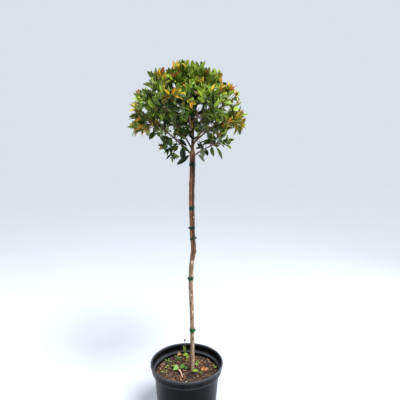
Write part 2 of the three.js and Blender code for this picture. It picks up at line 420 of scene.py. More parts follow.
# Rises smoothly from 0 to 1 as a value goes from low to high.
def rise_between(value, low, high):
    share = min(max((value - low) / (high - low), 0), 1)
    return share * share * (3 - 2 * share)


def soil_height(x, y):
    away = math.hypot(x - TRUNK_FOOT.x, y - TRUNK_FOOT.y)
    fade = rise_between(away, SOIL_FLAT_RADIUS, 2 * SOIL_FLAT_RADIUS)
    swell = math.sin(x / SOIL_LONG_WAVE + 1) * math.cos(y / SOIL_LONG_WAVE)
    ripple = math.sin((x + y) / SOIL_SHORT_WAVE) / 2
    lumps = noise.fractal(Vector((x, y, 0)) * 90, 0.8, 2.1, 3) * SOIL_LUMPS
    return SOIL_LEVEL + SOIL_UNEVENNESS * fade * (swell + ripple) + lumps


soil_profile = [(0, POT_FLOOR + SOIL_GAP), (pot_inner_radius(POT_FLOOR) - SOIL_GAP, POT_FLOOR + SOIL_GAP)]
for ring in range(SOIL_RINGS, -1, -1):
    soil_profile.append((SOIL_TOP_RADIUS * ring / SOIL_RINGS, SOIL_LEVEL))
soil_shape = turned(soil_profile, SOIL_STEPS)
for vertex in soil_shape.verts:
    if vertex.co.z > POT_LEDGE / 2:
        edge = rise_between(vertex.co.xy.length, SOIL_TOP_RADIUS, SOIL_TOP_RADIUS - 0.004)
        vertex.co.z = between(SOIL_LEVEL, soil_height(vertex.co.x, vertex.co.y), edge)


# A finish with an even grain of a scale, a detail and a roughness: its colour follows the grain through the
# stops, if it has any, and the grain stands in relief by a distance and a strength, if it has those.
def grained_finish(name, colour, roughness, grain, stops=None, raised=None, **values):
    finish = new_finish(name, colour, roughness, **values)
    pattern = cloud(finish, stretched(finish, (1, 1, 1)), *grain)
    if stops:
        paint(finish, ramp(finish, pattern, stops))
    if raised:
        relief(finish, pattern, *raised)
    return finish


soil_finish = grained_finish(
    "compost",
    (0.03, 0.017, 0.011),
    0.95,
    grain=(120, 6, 0.7),
    stops=[(0.3, (0.010, 0.006, 0.004)), (0.5, (0.032, 0.018, 0.011)), (0.72, (0.085, 0.046, 0.028))],
    raised=(0.004, 1.0),
)
soil = new_piece("compost", soil_shape, [soil_finish])
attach(soil, "root")
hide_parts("soil")


# A small solid from a round-ish lump, with its corners pushed about by chance.
def lump_mesh(name, chance, jitter, subdivisions=1):
    shape = bmesh.new()
    bmesh.ops.create_icosphere(shape, subdivisions=subdivisions, radius=0.5)
    for vertex in shape.verts:
        vertex.co *= chance.uniform(1 - jitter, 1 + jitter)
    return mesh_of(name, shape)


# Adds a copy of a small mesh to a shape, placed by a matrix.
def stamp(shape, mesh, matrix):
    copy = mesh.copy()
    copy.transform(matrix)
    shape.from_mesh(copy)
    bpy.data.meshes.remove(copy)


# Name: how common chips of this tone are, and their colour.
CHIP_TONES = {
    "bark_black": (0.28, (0.014, 0.008, 0.006)),
    "bark_brown": (0.36, (0.090, 0.046, 0.026)),
    "bark_red": (0.28, (0.185, 0.090, 0.048)),
    "bark_tan": (0.085, (0.33, 0.195, 0.110)),
    "bark_pale": (0.018, (0.52, 0.42, 0.34)),
}
CHIP_COUNT = 3000
CHIP_KINDS = 7
CHIP_LENGTH = 0.0026
CHIP_LEAST_LENGTH = 0.0010
CHIP_WALL_GAP = 0.0035
CHIP_TRUNK_GAP = 0.0105
DAMP_X = 0.014
DAMP_Y = -0.016
DAMP_REACH = 0.062
chip_chance = random.Random(41)
chip_lumps = [lump_mesh(f"chip_{index}", chip_chance, 0.35) for index in range(CHIP_KINDS)]
chip_shapes = {name: bmesh.new() for name in CHIP_TONES}
for index in range(CHIP_COUNT):
    reach = (SOIL_TOP_RADIUS - CHIP_WALL_GAP) * math.sqrt(chip_chance.random())
    angle = chip_chance.uniform(0, 2 * math.pi)
    x = reach * math.cos(angle)
    y = reach * math.sin(angle)
    length = CHIP_LENGTH * math.exp(chip_chance.gauss(0, 0.5)) + CHIP_LEAST_LENGTH
    if math.hypot(x - TRUNK_FOOT.x, y - TRUNK_FOOT.y) < CHIP_TRUNK_GAP:
        continue
    # The left and the right edge are drier and paler than the hollow round the trunk.
    damp = 1 - min(math.hypot(x - DAMP_X, (y - DAMP_Y) * 1.3) / DAMP_REACH, 1)
    damp = min(max(damp + 0.9 * noise.noise(Vector((x, y, 3)) * 34), 0), 1)
    weights = []
    for tone, (share, colour) in CHIP_TONES.items():
        weights.append(share * (1 + (2.2 if tone == "bark_black" else -0.55) * damp))
    tone = chip_chance.choices(list(CHIP_TONES), weights)[0]
    turn = Matrix.Rotation(chip_chance.uniform(0, 2 * math.pi), 4, "Z")
    tilt = Matrix.Rotation(chip_chance.gauss(0, 0.45), 4, "X")
    tilt = tilt @ Matrix.Rotation(chip_chance.gauss(0, 0.35), 4, "Y")
    size = Matrix.Diagonal((length * 1.25, length * chip_chance.uniform(0.45, 0.85), length * 0.4, 1))
    place = Matrix.Translation((x, y, soil_height(x, y) + length * chip_chance.uniform(-0.05, 0.3)))
    stamp(chip_shapes[tone], chip_chance.choice(chip_lumps), place @ turn @ tilt @ size)
for name, (share, colour) in CHIP_TONES.items():
    chip_finish = grained_finish(name, colour, 0.88, grain=(900, 4, 0.6), raised=(0.0006, 0.7))
    chips = new_piece(name, chip_shapes[name], [chip_finish], smooth=False)
    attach(chips, "root")

# The trunk: one slender stem of smooth brown bark, paler and knottier towards the foot, where side shoots
# were rubbed off as it was trained. Two ribs with a deep groove between them climb from mid-height to the
# fork.
TRUNK_FORK = Vector((0.020, 0.013))
TRUNK_FORK_HEIGHT = 0.925
TRUNK_TIP = Vector((0.024, 0.012))
TRUNK_TIP_HEIGHT = 1.165
TRUNK_STEM_RADIUS = 0.0065
TRUNK_SHOULDER_RADIUS = 0.0083
TRUNK_LEADER_RADIUS = 0.005
TRUNK_TIP_RADIUS = 0.0022
TRUNK_FLARE = 0.0013
TRUNK_FLARE_HEIGHT = 0.012
TRUNK_BENDS = [
    (0.490, 0.095, Vector((-0.005, 0.003))),
    (0.602, 0.034, Vector((0.005, -0.001))),
    (0.770, 0.070, Vector((-0.0025, -0.003))),
]
TRUNK_AROUND = 60
TRUNK_RINGS = 640
GROOVE_DEPTH = 0.0021
GROOVE_WIDTH = 0.23
BACK_GROOVE_DEPTH = 0.0016
BACK_GROOVE_WIDTH = 0.25
BARK_SWELL = 0.00022
BARK_COARSE = 0.00042
BARK_FINE = 0.00014
LEAF_SCAR_SPACING = 0.034
LEAF_SCAR_RISE = 0.00022
SMALL_KNOTS = 38
# Height, direction in degrees (-90 faces front), half-width, rise, and how pale it is, from -1 to 1.
KNOTS = [
    (0.280, -62, 0.0030, 0.0006, 0.9),
    (0.307, -44, 0.0024, 0.0007, -0.8),
    (0.313, -57, 0.0034, 0.0006, 0.9),
    (0.369, -123, 0.0024, 0.0008, -0.9),
    (0.376, -63, 0.0022, 0.0006, -0.8),
    (0.393, -63, 0.0030, 0.0008, 1.0),
    (0.423, -112, 0.0024, 0.0008, -0.9),
    (0.450, -92, 0.0030, 0.0008, 1.0),
    (0.472, -123, 0.0024, 0.0008, -0.9),
    (0.495, -127, 0.0024, 0.0008, -0.9),
    (0.560, -85, 0.0060, 0.0004, 0.8),
    (0.594, -8, 0.0040, 0.0012, -0.3),
    (0.777, -5, 0.0045, 0.0014, 0.2),
    (0.820, 182, 0.0045, 0.0012, 0.1),
    (0.827, -4, 0.0040, 0.0011, -0.1),
    (0.926, -88, 0.0060, 0.0006, 0.3),
]
trunk_chance = random.Random(17)
for index in range(SMALL_KNOTS):
    KNOTS.append((
        0.215 + 0.69 * ((index + trunk_chance.random()) / SMALL_KNOTS) ** 1.5,
        trunk_chance.uniform(0, 360),
        trunk_chance.uniform(0.0016, 0.0032),
        trunk_chance.uniform(0.0004, 0.0010),
        trunk_chance.choice((-0.9, -0.6, 0.5, 0.9)),
    ))


def trunk_centre(height):
    stem = (height - SOIL_LEVEL) / (TRUNK_FORK_HEIGHT - SOIL_LEVEL)
    leader = (height - TRUNK_FORK_HEIGHT) / (TRUNK_TIP_HEIGHT - TRUNK_FORK_HEIGHT)
    centre = TRUNK_FOOT.lerp(TRUNK_FORK, min(stem, 1)) + (TRUNK_TIP - TRUNK_FORK) * max(leader, 0)
    for bend_height, reach, shift in TRUNK_BENDS:
        centre += shift * math.exp(-(((height - bend_height) / reach) ** 2))
    return Vector((centre.x, centre.y, height))


def trunk_radius(height):
    stem_share = (height - SOIL_LEVEL) / (TRUNK_FORK_HEIGHT - SOIL_LEVEL)
    leader_share = (height - TRUNK_FORK_HEIGHT) / (TRUNK_TIP_HEIGHT - TRUNK_FORK_HEIGHT)
    stem = between(TRUNK_STEM_RADIUS, TRUNK_SHOULDER_RADIUS, stem_share)
    leader = between(TRUNK_LEADER_RADIUS, TRUNK_TIP_RADIUS, leader_share)
    above = rise_between(height, TRUNK_FORK_HEIGHT - 0.010, TRUNK_FORK_HEIGHT + 0.022)
    return between(stem, leader, above) + TRUNK_FLARE * math.exp((SOIL_LEVEL - height) / TRUNK_FLARE_HEIGHT)


# The turn from one direction to another, the short way round.
def turn_between(first, second):
    return (first - second + math.pi) % (2 * math.pi) - math.pi


# How strongly the two ribs show at a height, and the direction of the groove between them in front.
def rib_strength(height):
    return rise_between(height, 0.545, 0.60) * (1 - rise_between(height, 0.905, 0.935))


def groove_direction(height):
    return math.radians(-90 + 16 * math.sin(9 * height + 0.6) + 10 * (height - 0.75))


# The bark's distance from the trunk's centre line at a height and a direction.
def trunk_surface(height, angle):
    ribs = rib_strength(height)
    groove = groove_direction(height)
    radius = trunk_radius(height)
    radius *= 1 + (0.05 + 0.10 * ribs) * math.cos(2 * turn_between(angle, groove + math.pi / 2))
    front = math.exp(-((turn_between(angle, groove) / GROOVE_WIDTH) ** 2))
    back = math.exp(-((turn_between(angle, groove + math.pi) / BACK_GROOVE_WIDTH) ** 2))
    radius -= (GROOVE_DEPTH * front + BACK_GROOVE_DEPTH * back) * ribs
    girth = 1.5 * noise.noise(Vector((height * 38, 3.1, 0)))
    around = Vector((math.cos(angle), math.sin(angle), 0)) * 1.6
    coarse = noise.fractal(around + Vector((0, 0, height * 55)), 0.7, 2.2, 4)
    fine = noise.noise(around * 5 + Vector((9, 0, height * 160)))
    return radius + BARK_SWELL * girth + BARK_COARSE * coarse + BARK_FINE * fine


trunk_shape = bmesh.new()
bmesh.ops.create_grid(trunk_shape, x_segments=TRUNK_AROUND, y_segments=TRUNK_RINGS, size=1, calc_uvs=False)
trunk_foot_height = SOIL_LEVEL + SOIL_GAP
# The tone value holds the painted light and shade of the ribs and the groove, and the strip of older bark.
tone_and_shade_layer = trunk_shape.verts.layers.float.new("tone")
scar_layer = trunk_shape.verts.layers.float.new("scar")
for vertex in trunk_shape.verts:
    angle = math.pi * vertex.co.x
    height = between(trunk_foot_height, TRUNK_TIP_HEIGHT, (vertex.co.y + 1) / 2)
    radius = trunk_surface(height, angle)
    scar = 0
    for knot_height, direction, half_width, rise, paleness in KNOTS:
        if abs(height - knot_height) < 4 * half_width:
            across = turn_between(angle, math.radians(direction)) * trunk_radius(height)
            away = math.hypot(across, (height - knot_height) * 0.8) / half_width
            bump = math.exp(-(away ** 2))
            radius += rise * (bump * 1.25 - 0.75 * math.exp(-((away / 0.42) ** 2)))
            scar += paleness * math.exp(-((away / 0.85) ** 4))
    scar_ring = math.exp(-(((height / LEAF_SCAR_SPACING + 0.5) % 1 - 0.5) / 0.07) ** 2)
    radius += LEAF_SCAR_RISE * scar_ring * (1 - rise_between(height, 0.93, 0.96))
    side = turn_between(angle, groove_direction(height))
    ribs = rib_strength(height)
    # Painted shade: the groove between the ribs is painted darker.
    painted_groove_shade = math.exp(-((side / 0.2) ** 2)) * ribs
    strip = math.exp(-((turn_between(angle, math.radians(-152)) / 0.42) ** 2))
    strip = strip * (1 - rise_between(height, 0.30, 0.36))
    # One rib is painted lighter and redder and the other darker: partly the bark's own colour, partly painted
    # light and shade.
    rib_colour_and_painted_light = 0.5 * ribs * math.tanh(-3 * math.sin(side)) * 0.8
    vertex[tone_and_shade_layer] = 0.5 + rib_colour_and_painted_light - 1.1 * painted_groove_shade - 0.4 * strip
    vertex[scar_layer] = max(-1, min(1, scar))
    centre = trunk_centre(height)
    vertex.co = centre + Vector((radius * math.cos(angle), radius * math.sin(angle), 0))
bmesh.ops.remove_doubles(trunk_shape, verts=trunk_shape.verts, dist=1e-6)
bmesh.ops.holes_fill(trunk_shape, edges=[edge for edge in trunk_shape.edges if edge.is_boundary], sides=0)
bmesh.ops.recalc_face_normals(trunk_shape, faces=trunk_shape.faces)


def own_value(finish, name):
    return add_node(finish, "ShaderNodeAttribute", attribute_name=name).outputs["Fac"]


bark = new_finish("trunk_bark", (0.25, 0.16, 0.1), 0.82, Specular_IOR_Level=0.3)
bark_streaks = cloud(bark, stretched(bark, (260, 260, 34)), 1, 5, 0.62)
bark_flecks = cloud(bark, stretched(bark, (420, 420, 240)), 1, 3, 0.6)
bark_level = level_share(bark, 0.18, 1.18)
bark_tone_and_shade = own_value(bark, "tone")
bark_scar = own_value(bark, "scar")
bark_pale = ramp(
    bark,
    bark_streaks,
    [(0.3, (0.095, 0.060, 0.035)), (0.5, (0.235, 0.165, 0.104)), (0.72, (0.42, 0.32, 0.225))],
)
# The ribs' two colours: the darker one, which the groove also takes, is partly painted shade, and the redder,
# lighter one is partly painted light.
bark_dark_rib_and_shade = ramp(
    bark,
    bark_streaks,
    [(0.3, (0.020, 0.009, 0.005)), (0.55, (0.050, 0.023, 0.012)), (0.8, (0.11, 0.058, 0.032))],
)
bark_red_rib_and_light = ramp(
    bark,
    bark_streaks,
    [(0.3, (0.086, 0.034, 0.014)), (0.55, (0.190, 0.083, 0.034)), (0.8, (0.33, 0.175, 0.085))],
)
bark_ribs_with_light_and_shade = blend(bark, bark_tone_and_shade, bark_dark_rib_and_shade, bark_red_rib_and_light)
bark_climb = ramp(
    bark,
    bark_level,
    [
        (0.0, grey(0.25)),
        (0.03, grey(0.0)),
        (0.33, grey(0.12)),
        (0.40, grey(0.62)),
        (0.46, grey(0.92)),
        (0.6, grey(1.0)),
    ],
)
bark_base = blend(bark, bark_climb, bark_pale, bark_ribs_with_light_and_shade)
# A thin strip of older, browner bark lies along the left of the foot.
bark_strip = ramp(bark, bark_tone_and_shade, [(0.15, grey(0.85)), (0.42, grey(0.0))])
bark_low = ramp(bark, bark_level, [(0.16, grey(1.0)), (0.19, grey(0.0))])
bark_old = blend(bark, 1.0, bark_strip, bark_low, "MULTIPLY")
bark_base = blend(bark, bark_old, bark_base, (0.105, 0.052, 0.026))
# The foot is dusty.
bark_dusty = ramp(bark, bark_level, [(0.0, grey(0.55)), (0.08, grey(0.4)), (0.2, grey(0.0))])
bark_base = blend(bark, bark_dusty, bark_base, blend(bark, 1.0, bark_base, (1.0, 1.04, 1.22), "MULTIPLY"))
# The leader inside the head is painted dark, as painted shade under the leaves, and the fork is a golden
# brown, where the leader's bark has stretched.
bark_head_shade = ramp(bark, level_share(bark, 0.93, 0.97), [(0.0, grey(0)), (1.0, grey(0.8))])
bark_base = blend(bark, bark_head_shade, bark_base, (0.062, 0.031, 0.018))
bark_fork = ramp(
    bark,
    level_share(bark, 0.900, 0.960),
    [(0.1, grey(0)), (0.4, grey(0.75)), (0.6, grey(0.7)), (0.85, grey(0))],
)
bark_gold = ramp(
    bark,
    bark_streaks,
    [(0.3, (0.115, 0.050, 0.017)), (0.55, (0.320, 0.160, 0.050)), (0.75, (0.540, 0.320, 0.115))],
)
bark_base = blend(bark, bark_fork, bark_base, bark_gold)
# Pale and dark scars mark the knots, and small pale flecks lie all over.
scar_turned = add_node(bark, "ShaderNodeMath", operation="MULTIPLY")
scar_turned.inputs[1].default_value = -1
join(bark, bark_scar, scar_turned.inputs[0])
for pattern, stops, colour in (
    (bark_scar, [(0.0, grey(0)), (0.9, grey(0.9))], (0.58, 0.46, 0.33)),
    (scar_turned.outputs[0], [(0.0, grey(0)), (0.8, grey(0.95))], (0.022, 0.012, 0.007)),
    (bark_flecks, [(0.62, grey(0)), (0.75, grey(0.35))], (0.50, 0.40, 0.29)),
):
    bark_base = blend(bark, ramp(bark, pattern, stops), bark_base, colour)
paint(bark, bark_base)
relief(bark, bark_streaks, 0.0012, 0.6)
trunk = new_piece("trunk_bark", trunk_shape, [bark])
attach(trunk, "root")
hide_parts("trunk")

# The ties: soft green nursery tape, 12 mm wide, wound round the trunk and knotted. Each lies a little slack
# and creased, and its two short ends stand off at the knot.
# Each tie's height, the direction of its knot in degrees, its slant and its width.
TIES = [
    (0.330, -12, 0.0005, 0.012),
    (0.504, 195, 0.001, 0.0115),
    (0.640, 10, 0.0035, 0.006),
    (0.674, 186, 0.0004, 0.009),
    (0.741, 60, 0.0012, 0.0115),
    (0.884, 150, -0.001, 0.012),
]
TIE_CLEARANCE = 0.0007
TAPE_THICKNESS = 0.0003
TAPE_CREASES = 0.00035
TAPE_RIPPLES = 0.00018
SECOND_TURN_LIFT = 0.0005
SECOND_TURN_CLIMB = 0.0008
tie_chance = random.Random(5)


# One turn of tape that follows the trunk's surface, with long soft creases.
def tape_turn(height, slant, lift, width, seed):
    shape = bmesh.new()
    bmesh.ops.create_grid(shape, x_segments=72, y_segments=8, size=1, calc_uvs=False)
    for vertex in shape.verts:
        angle = math.pi * vertex.co.x
        across = vertex.co.y
        level = height + across * width / 2 + slant * math.cos(angle)
        creases = noise.noise(Vector((math.cos(angle) * 2.4, math.sin(angle) * 2.4, across * 2.2 + seed)))
        ripple = noise.noise(Vector((math.cos(angle) * 7, math.sin(angle) * 7, across * 1.1 - seed)))
        level += 0.0006 * across * noise.noise(Vector((math.cos(angle) * 3, math.sin(angle) * 3, seed)))
        radius = trunk_surface(level, angle) * 0.35 + (trunk_radius(level) * 1.08) * 0.65
        radius += TIE_CLEARANCE + lift + TAPE_CREASES * creases + TAPE_RIPPLES * ripple
        centre = trunk_centre(level)
        vertex.co = centre + Vector((radius * math.cos(angle), radius * math.sin(angle), 0))
    bmesh.ops.remove_doubles(shape, verts=shape.verts, dist=1e-6)
    bmesh.ops.recalc_face_normals(shape, faces=shape.faces)
    bmesh.ops.solidify(shape, geom=shape.faces[:], thickness=TAPE_THICKNESS)
    return mesh_of("turn", shape)


# A short free end of tape, narrowing and curling away from the knot.
def tape_end(length, width, curl):
    shape = bmesh.new()
    bmesh.ops.create_grid(shape, x_segments=8, y_segments=3, size=1, calc_uvs=False)
    for vertex in shape.verts:
        along = (vertex.co.x + 1) / 2
        spread = between(0.35, 1, along) * (1 - 0.3 * along * along)
        across = vertex.co.y * width / 2 * spread
        vertex.co = Vector((length * along, across, curl * length * along * along))
    bmesh.ops.recalc_face_normals(shape, faces=shape.faces)
    bmesh.ops.solidify(shape, geom=shape.faces[:], thickness=TAPE_THICKNESS)
    return mesh_of("end", shape)


ties_shape = bmesh.new()
knot_lump = lump_mesh("tape_knot", tie_chance, 0.18, 2)
for index, (height, knot_direction, slant, width) in enumerate(TIES):
    for turn in (0, 1):
        lean = slant + turn * tie_chance.uniform(-0.0008, 0.0008)
        band = tape_turn(
            height + turn * SECOND_TURN_CLIMB,
            lean,
            lift=turn * SECOND_TURN_LIFT,
            width=width * (0.97 - 0.1 * turn),
            seed=index * 3.7 + turn,
        )
        stamp(ties_shape, band, Matrix.Identity(4))
        bpy.data.meshes.remove(band)
    direction = math.radians(knot_direction)
    outward = Vector((math.cos(direction), math.sin(direction), 0))
    place = trunk_centre(height) + outward * (trunk_radius(height) + 0.0028)
    knot_place = Matrix.Translation(place) @ Matrix.Rotation(direction, 4, "Z")
    stamp(ties_shape, knot_lump, knot_place @ Matrix.Diagonal((0.0032, 0.0052, 0.0062, 1)))
    for side in (-1, 1):
        end = tape_end(tie_chance.uniform(0.003, 0.006), 0.005, tie_chance.uniform(-0.3, 0.3))
        spread = Matrix.Rotation(side * tie_chance.uniform(0.5, 1.1), 4, "Z")
        upright = Matrix.Rotation(math.pi / 2, 4, "X")
        droop = Matrix.Rotation(side * tie_chance.uniform(0.2, 0.8), 4, "Y")
        stamp(ties_shape, end, knot_place @ droop @ (spread @ upright))
        bpy.data.meshes.remove(end)
tape = new_finish("green_tape", (0.004, 0.045, 0.022), 0.46, Specular_IOR_Level=0.22)
tape_wear = cloud(tape, stretched(tape, (1, 1, 1)), 210, 4, 0.6)
# The lower ties are newer and greener than the upper ones.
tape_old = ramp(
    tape,
    tape_wear,
    [(0.3, (0.001, 0.012, 0.006)), (0.55, (0.002, 0.030, 0.013)), (0.8, (0.006, 0.062, 0.028))],
)
tape_new = ramp(
    tape,
    tape_wear,
    [(0.3, (0.002, 0.035, 0.008)), (0.55, (0.006, 0.080, 0.018)), (0.8, (0.016, 0.150, 0.036))],
)
tape_age = ramp(tape, level_share(tape, 0.33, 0.66), [(0.3, grey(0)), (0.8, grey(1))])
paint(tape, blend(tape, tape_age, tape_new, tape_old))
relief(tape, tape_wear, 0.0008, 0.6)
ties = new_piece("tape_ties", ties_shape, [tape], sharp_above=55)
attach(ties, "root")
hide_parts("tie_1", "tie_2", "tie_3", "tie_4", "tie_5", "tie_6")

# The boughs: seven red-brown limbs that leave the leader round the fork and fan out into the head. They are
# grown wood like the trunk, and each one thins from its foot to its end, where it forks into branches.
# Name: height on the trunk, heading in degrees, level reach, climb, arch, radius at the foot and at the end.
BOUGHS = {
    "left": (0.915, 188, 0.124, 0.103, 0.006, 0.0034, 0.0019),
    "right": (0.952, -4, 0.114, 0.090, 0.006, 0.0032, 0.0018),
    "right_low": (0.910, -12, 0.086, 0.044, 0.005, 0.0026, 0.0016),
    "front": (0.968, 262, 0.096, 0.076, -0.006, 0.0031, 0.0018),
    "back_left": (0.932, 128, 0.104, 0.098, 0.008, 0.0033, 0.0018),
    "back_right": (0.945, 52, 0.104, 0.092, 0.006, 0.0033, 0.0018),
    "upper_left": (1.052, 196, 0.062, 0.066, -0.006, 0.0026, 0.0017),
}
WOOD_STEP = 0.008
LEADER_STEPS = 31
LEADER_BARE_TO = 0.975
BOUGH_BARE_STEPS = 4

# Every place along the wood: where it is, which place it grows from, which way it heads, its girth where that
# is set already, whether new branches may start there, and how much grows beyond it. A girth is the distance
# from the middle to the bark.
wood = []


def add_place(point, parent, heading, girth, open_to_branches):
    wood.append({
        "point": point,
        "parent": parent,
        "heading": heading,
        "girth": girth,
        "open": open_to_branches,
        "load": 0.0,
    })
    return len(wood) - 1


leader_places = []
parent = -1
for step in range(LEADER_STEPS):
    height = TRUNK_FORK_HEIGHT - 0.02 + WOOD_STEP * step
    if height <= TRUNK_TIP_HEIGHT - 0.004:
        upright = Vector((0, 0, 1))
        may_branch = height > LEADER_BARE_TO
        parent = add_place(trunk_centre(height), parent, upright, trunk_radius(height), may_branch)
        leader_places.append(parent)

limbs = []
for name, (height, heading, reach, climb, arch, thick, thin) in BOUGHS.items():
    heading = math.radians(heading)
    start = trunk_centre(height)
    end = start + Vector((math.cos(heading) * reach, math.sin(heading) * reach, climb))
    middle = start.lerp(end, 0.5) + Vector((0, 0, 2 * arch))
    steps = round((end - start).length / WOOD_STEP)
    parent = min(leader_places, key=lambda place: abs(wood[place]["point"].z - height))
    chain = [parent]
    for step in range(1, steps + 1):
        share = step / steps
        point = start.lerp(middle, share).lerp(middle.lerp(end, share), share)
        direction = (middle - start).lerp(end - middle, share).normalized()
        parent = add_place(point, parent, direction, between(thick, thin, share), step > BOUGH_BARE_STEPS)
        chain.append(parent)
    limbs.append({"name": name, "start": start, "chain": chain, "shoot": False})


# A mesh of round tapering limbs from their courses of points and radii, with closed ends.
def limbs_mesh(name, courses, sides):
    curve = bpy.data.curves.new(name, "CURVE")
    curve.dimensions = "3D"
    curve.bevel_depth = 1.0
    curve.bevel_resolution = sides
    curve.use_fill_caps = True
    for course in courses:
        line = curve.splines.new("POLY")
        line.points.add(len(course) - 1)
        for slot, (point, radius) in zip(line.points, course):
            slot.co = (*point, 1)
            slot.radius = radius
    holder = bpy.data.objects.new(name, curve)
    bpy.context.scene.collection.objects.link(holder)
    bpy.context.view_layer.update()
    mesh = bpy.data.meshes.new_from_object(holder.evaluated_get(bpy.context.evaluated_depsgraph_get()))
    bpy.data.objects.remove(holder)
    shape = bmesh.new()
    shape.from_mesh(mesh)
    bpy.data.meshes.remove(mesh)
    bmesh.ops.remove_doubles(shape, verts=shape.verts, dist=1e-7)
    bmesh.ops.recalc_face_normals(shape, faces=shape.faces)
    return shape


# The point at share t of a flowing course from one place to another, with the way it leaves and arrives.
def flowing_point(start, leave, end, arrive, t):
    return (
        start * (2 * t ** 3 - 3 * t ** 2 + 1)
        + leave * (t ** 3 - 2 * t ** 2 + t)
        + end * (3 * t ** 2 - 2 * t ** 3)
        + arrive * (t ** 3 - t ** 2)
    )


# A limb's course between two of its places, with a number of finer steps from each place to the next.
def smooth_course(limb, first, last, finer):
    chain = limb["chain"]
    points = [limb["start"]] + [wood[index]["point"] for index in chain[1:]]
    girths = [wood[index]["girth"] for index in chain[1:]]
    girths = [girths[0] * 1.25] + girths
    course = []
    for index in range(first, last):
        before = points[max(index - 1, 0)]
        after = points[min(index + 2, len(points) - 1)]
        for step in range(finer):
            t = step / finer
            here = points[index]
            there = points[index + 1]
            point = flowing_point(here, (there - before) / 2, there, (after - here) / 2, t)
            course.append((point, between(girths[index], girths[index + 1], t)))
    course.append((points[last], girths[last]))
    return course


# Roughens a limb's bark with small swellings.
def roughen(shape, amount, scale):
    shape.normal_update()
    for vertex in shape.verts:
        swell = noise.fractal(vertex.co * scale, 0.8, 2.1, 3)
        vertex.co += vertex.normal * amount * swell


bough_courses = [smooth_course(limb, 0, len(limb["chain"]) - 1, 5) for limb in limbs]
bough_bark = grained_finish(
    "bough_bark",
    (0.16, 0.075, 0.045),
    0.72,
    grain=(260, 5, 0.6),
    stops=[(0.3, (0.075, 0.033, 0.020)), (0.52, (0.17, 0.080, 0.048)), (0.75, (0.30, 0.175, 0.115))],
    raised=(0.0010, 0.6),
    Specular_IOR_Level=0.35,
)
bough_shape = limbs_mesh("boughs", bough_courses, 4)
roughen(bough_shape, 0.00035, 210)
boughs = new_piece("boughs", bough_shape, [bough_bark])
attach(boughs, "root")
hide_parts(*[f"bough_{name}" for name in BOUGHS])

# The branches: they grow by one rule. Leafy shoots end evenly over the outside of the head, and each one
# takes the shortest natural course from the wood that is already there, so wood thickens where courses meet.
HEAD_MIDDLE = Vector((0.008, 0.010, 1.055))
SHOOT_SPACING = 0.0255
SHOOT_TRIES = 14000
SHOOT_DEPTH = 0.016
INNER_SHOOTS = 60
LEAFY_LENGTH = 0.04
YOUNG_LENGTH = 0.030
SHORTEST_BRANCH = 0.03
BRANCH_SWAY = 0.0035
branch_chance = random.Random(8)
# Without a seed of its own, the noise that sways the branches starts from the clock.
noise.seed_set(1)

# The outside of the head, which the shoots grow to, from the CAD model's masses of leaves.
mass_corners = []
mass_faces = []
mass_names = [name for name in frame["nodes"] if name.startswith("leaves_")]
for name in sorted(mass_names):
    mesh = frame["nodes"][name].data
    base = len(mass_corners)
    mass_corners.extend(vertex.co.copy() for vertex in mesh.vertices)
    mass_faces.extend([base + corner for corner in face.vertices] for face in mesh.polygons)
head = BVHTree.FromPolygons(mass_corners, mass_faces)
face_areas = []
for face in mass_faces:
    a, b, c = (mass_corners[corner] for corner in face[:3])
    face_areas.append((b - a).cross(c - a).length / 2)

shoot_ends = []
for face in branch_chance.choices(mass_faces, face_areas, k=SHOOT_TRIES):
    a, b, c = (mass_corners[corner] for corner in face[:3])
    u = branch_chance.random()
    v = branch_chance.random()
    if u + v > 1:
        u = 1 - u
        v = 1 - v
    point = a + (b - a) * u + (c - a) * v
    normal = (b - a).cross(c - a).normalized()
    hidden = head.ray_cast(point + normal * 0.0015, normal, 0.06)[0]
    if hidden:
        continue
    spacing = SHOOT_SPACING * between(1.0, 1.35, rise_between(-normal.z, 0.2, 0.6))
    spacing *= between(1.3, 1.0, rise_between(point.z, 0.955, 0.985))
    spacing *= between(1.0, 0.86, rise_between(point.z, 1.14, 1.18))
    spacing *= between(2.4, 1.0, rise_between(point.z, 0.940, 0.975))
    if all((point - other).length > spacing for other, _ in shoot_ends):
        shoot_ends.append((point, normal))

shoots = []


# A shoot to grow: its end, the way it points there, how far it is on the underside of the head (0 to 1),
# whether it stays inside the head, and whether it carries only a few leaves.
def add_shoot(end, direction, under, inner=False, sparse=False):
    shoots.append({"end": end, "direction": direction, "under": under, "inner": inner, "sparse": sparse})


for point, normal in shoot_ends:
    outward = (point - HEAD_MIDDLE).normalized()
    under = rise_between(-normal.z, 0.1, 0.8)
    lift = Vector((0, 0, between(1.15, 0.0, under)))
    direction = (normal * 0.42 + outward * 0.45 + lift).normalized()
    inset = SHOOT_DEPTH * branch_chance.uniform(0.6, 1.5)
    add_shoot(point - direction * inset, direction, under)
for index in range(INNER_SHOOTS):
    point, normal = branch_chance.choice(shoot_ends)
    deep = point.lerp(HEAD_MIDDLE, branch_chance.uniform(0.3, 0.62))
    direction = (point - HEAD_MIDDLE).normalized() + Vector((0, 0, 0.4))
    sway = Vector([branch_chance.uniform(-0.6, 0.6) for axis in range(3)])
    add_shoot(deep, (direction + sway).normalized(), 0.2, inner=True)
shoots.sort(key=lambda shoot: (shoot["end"] - HEAD_MIDDLE).length + branch_chance.uniform(0, 0.03))

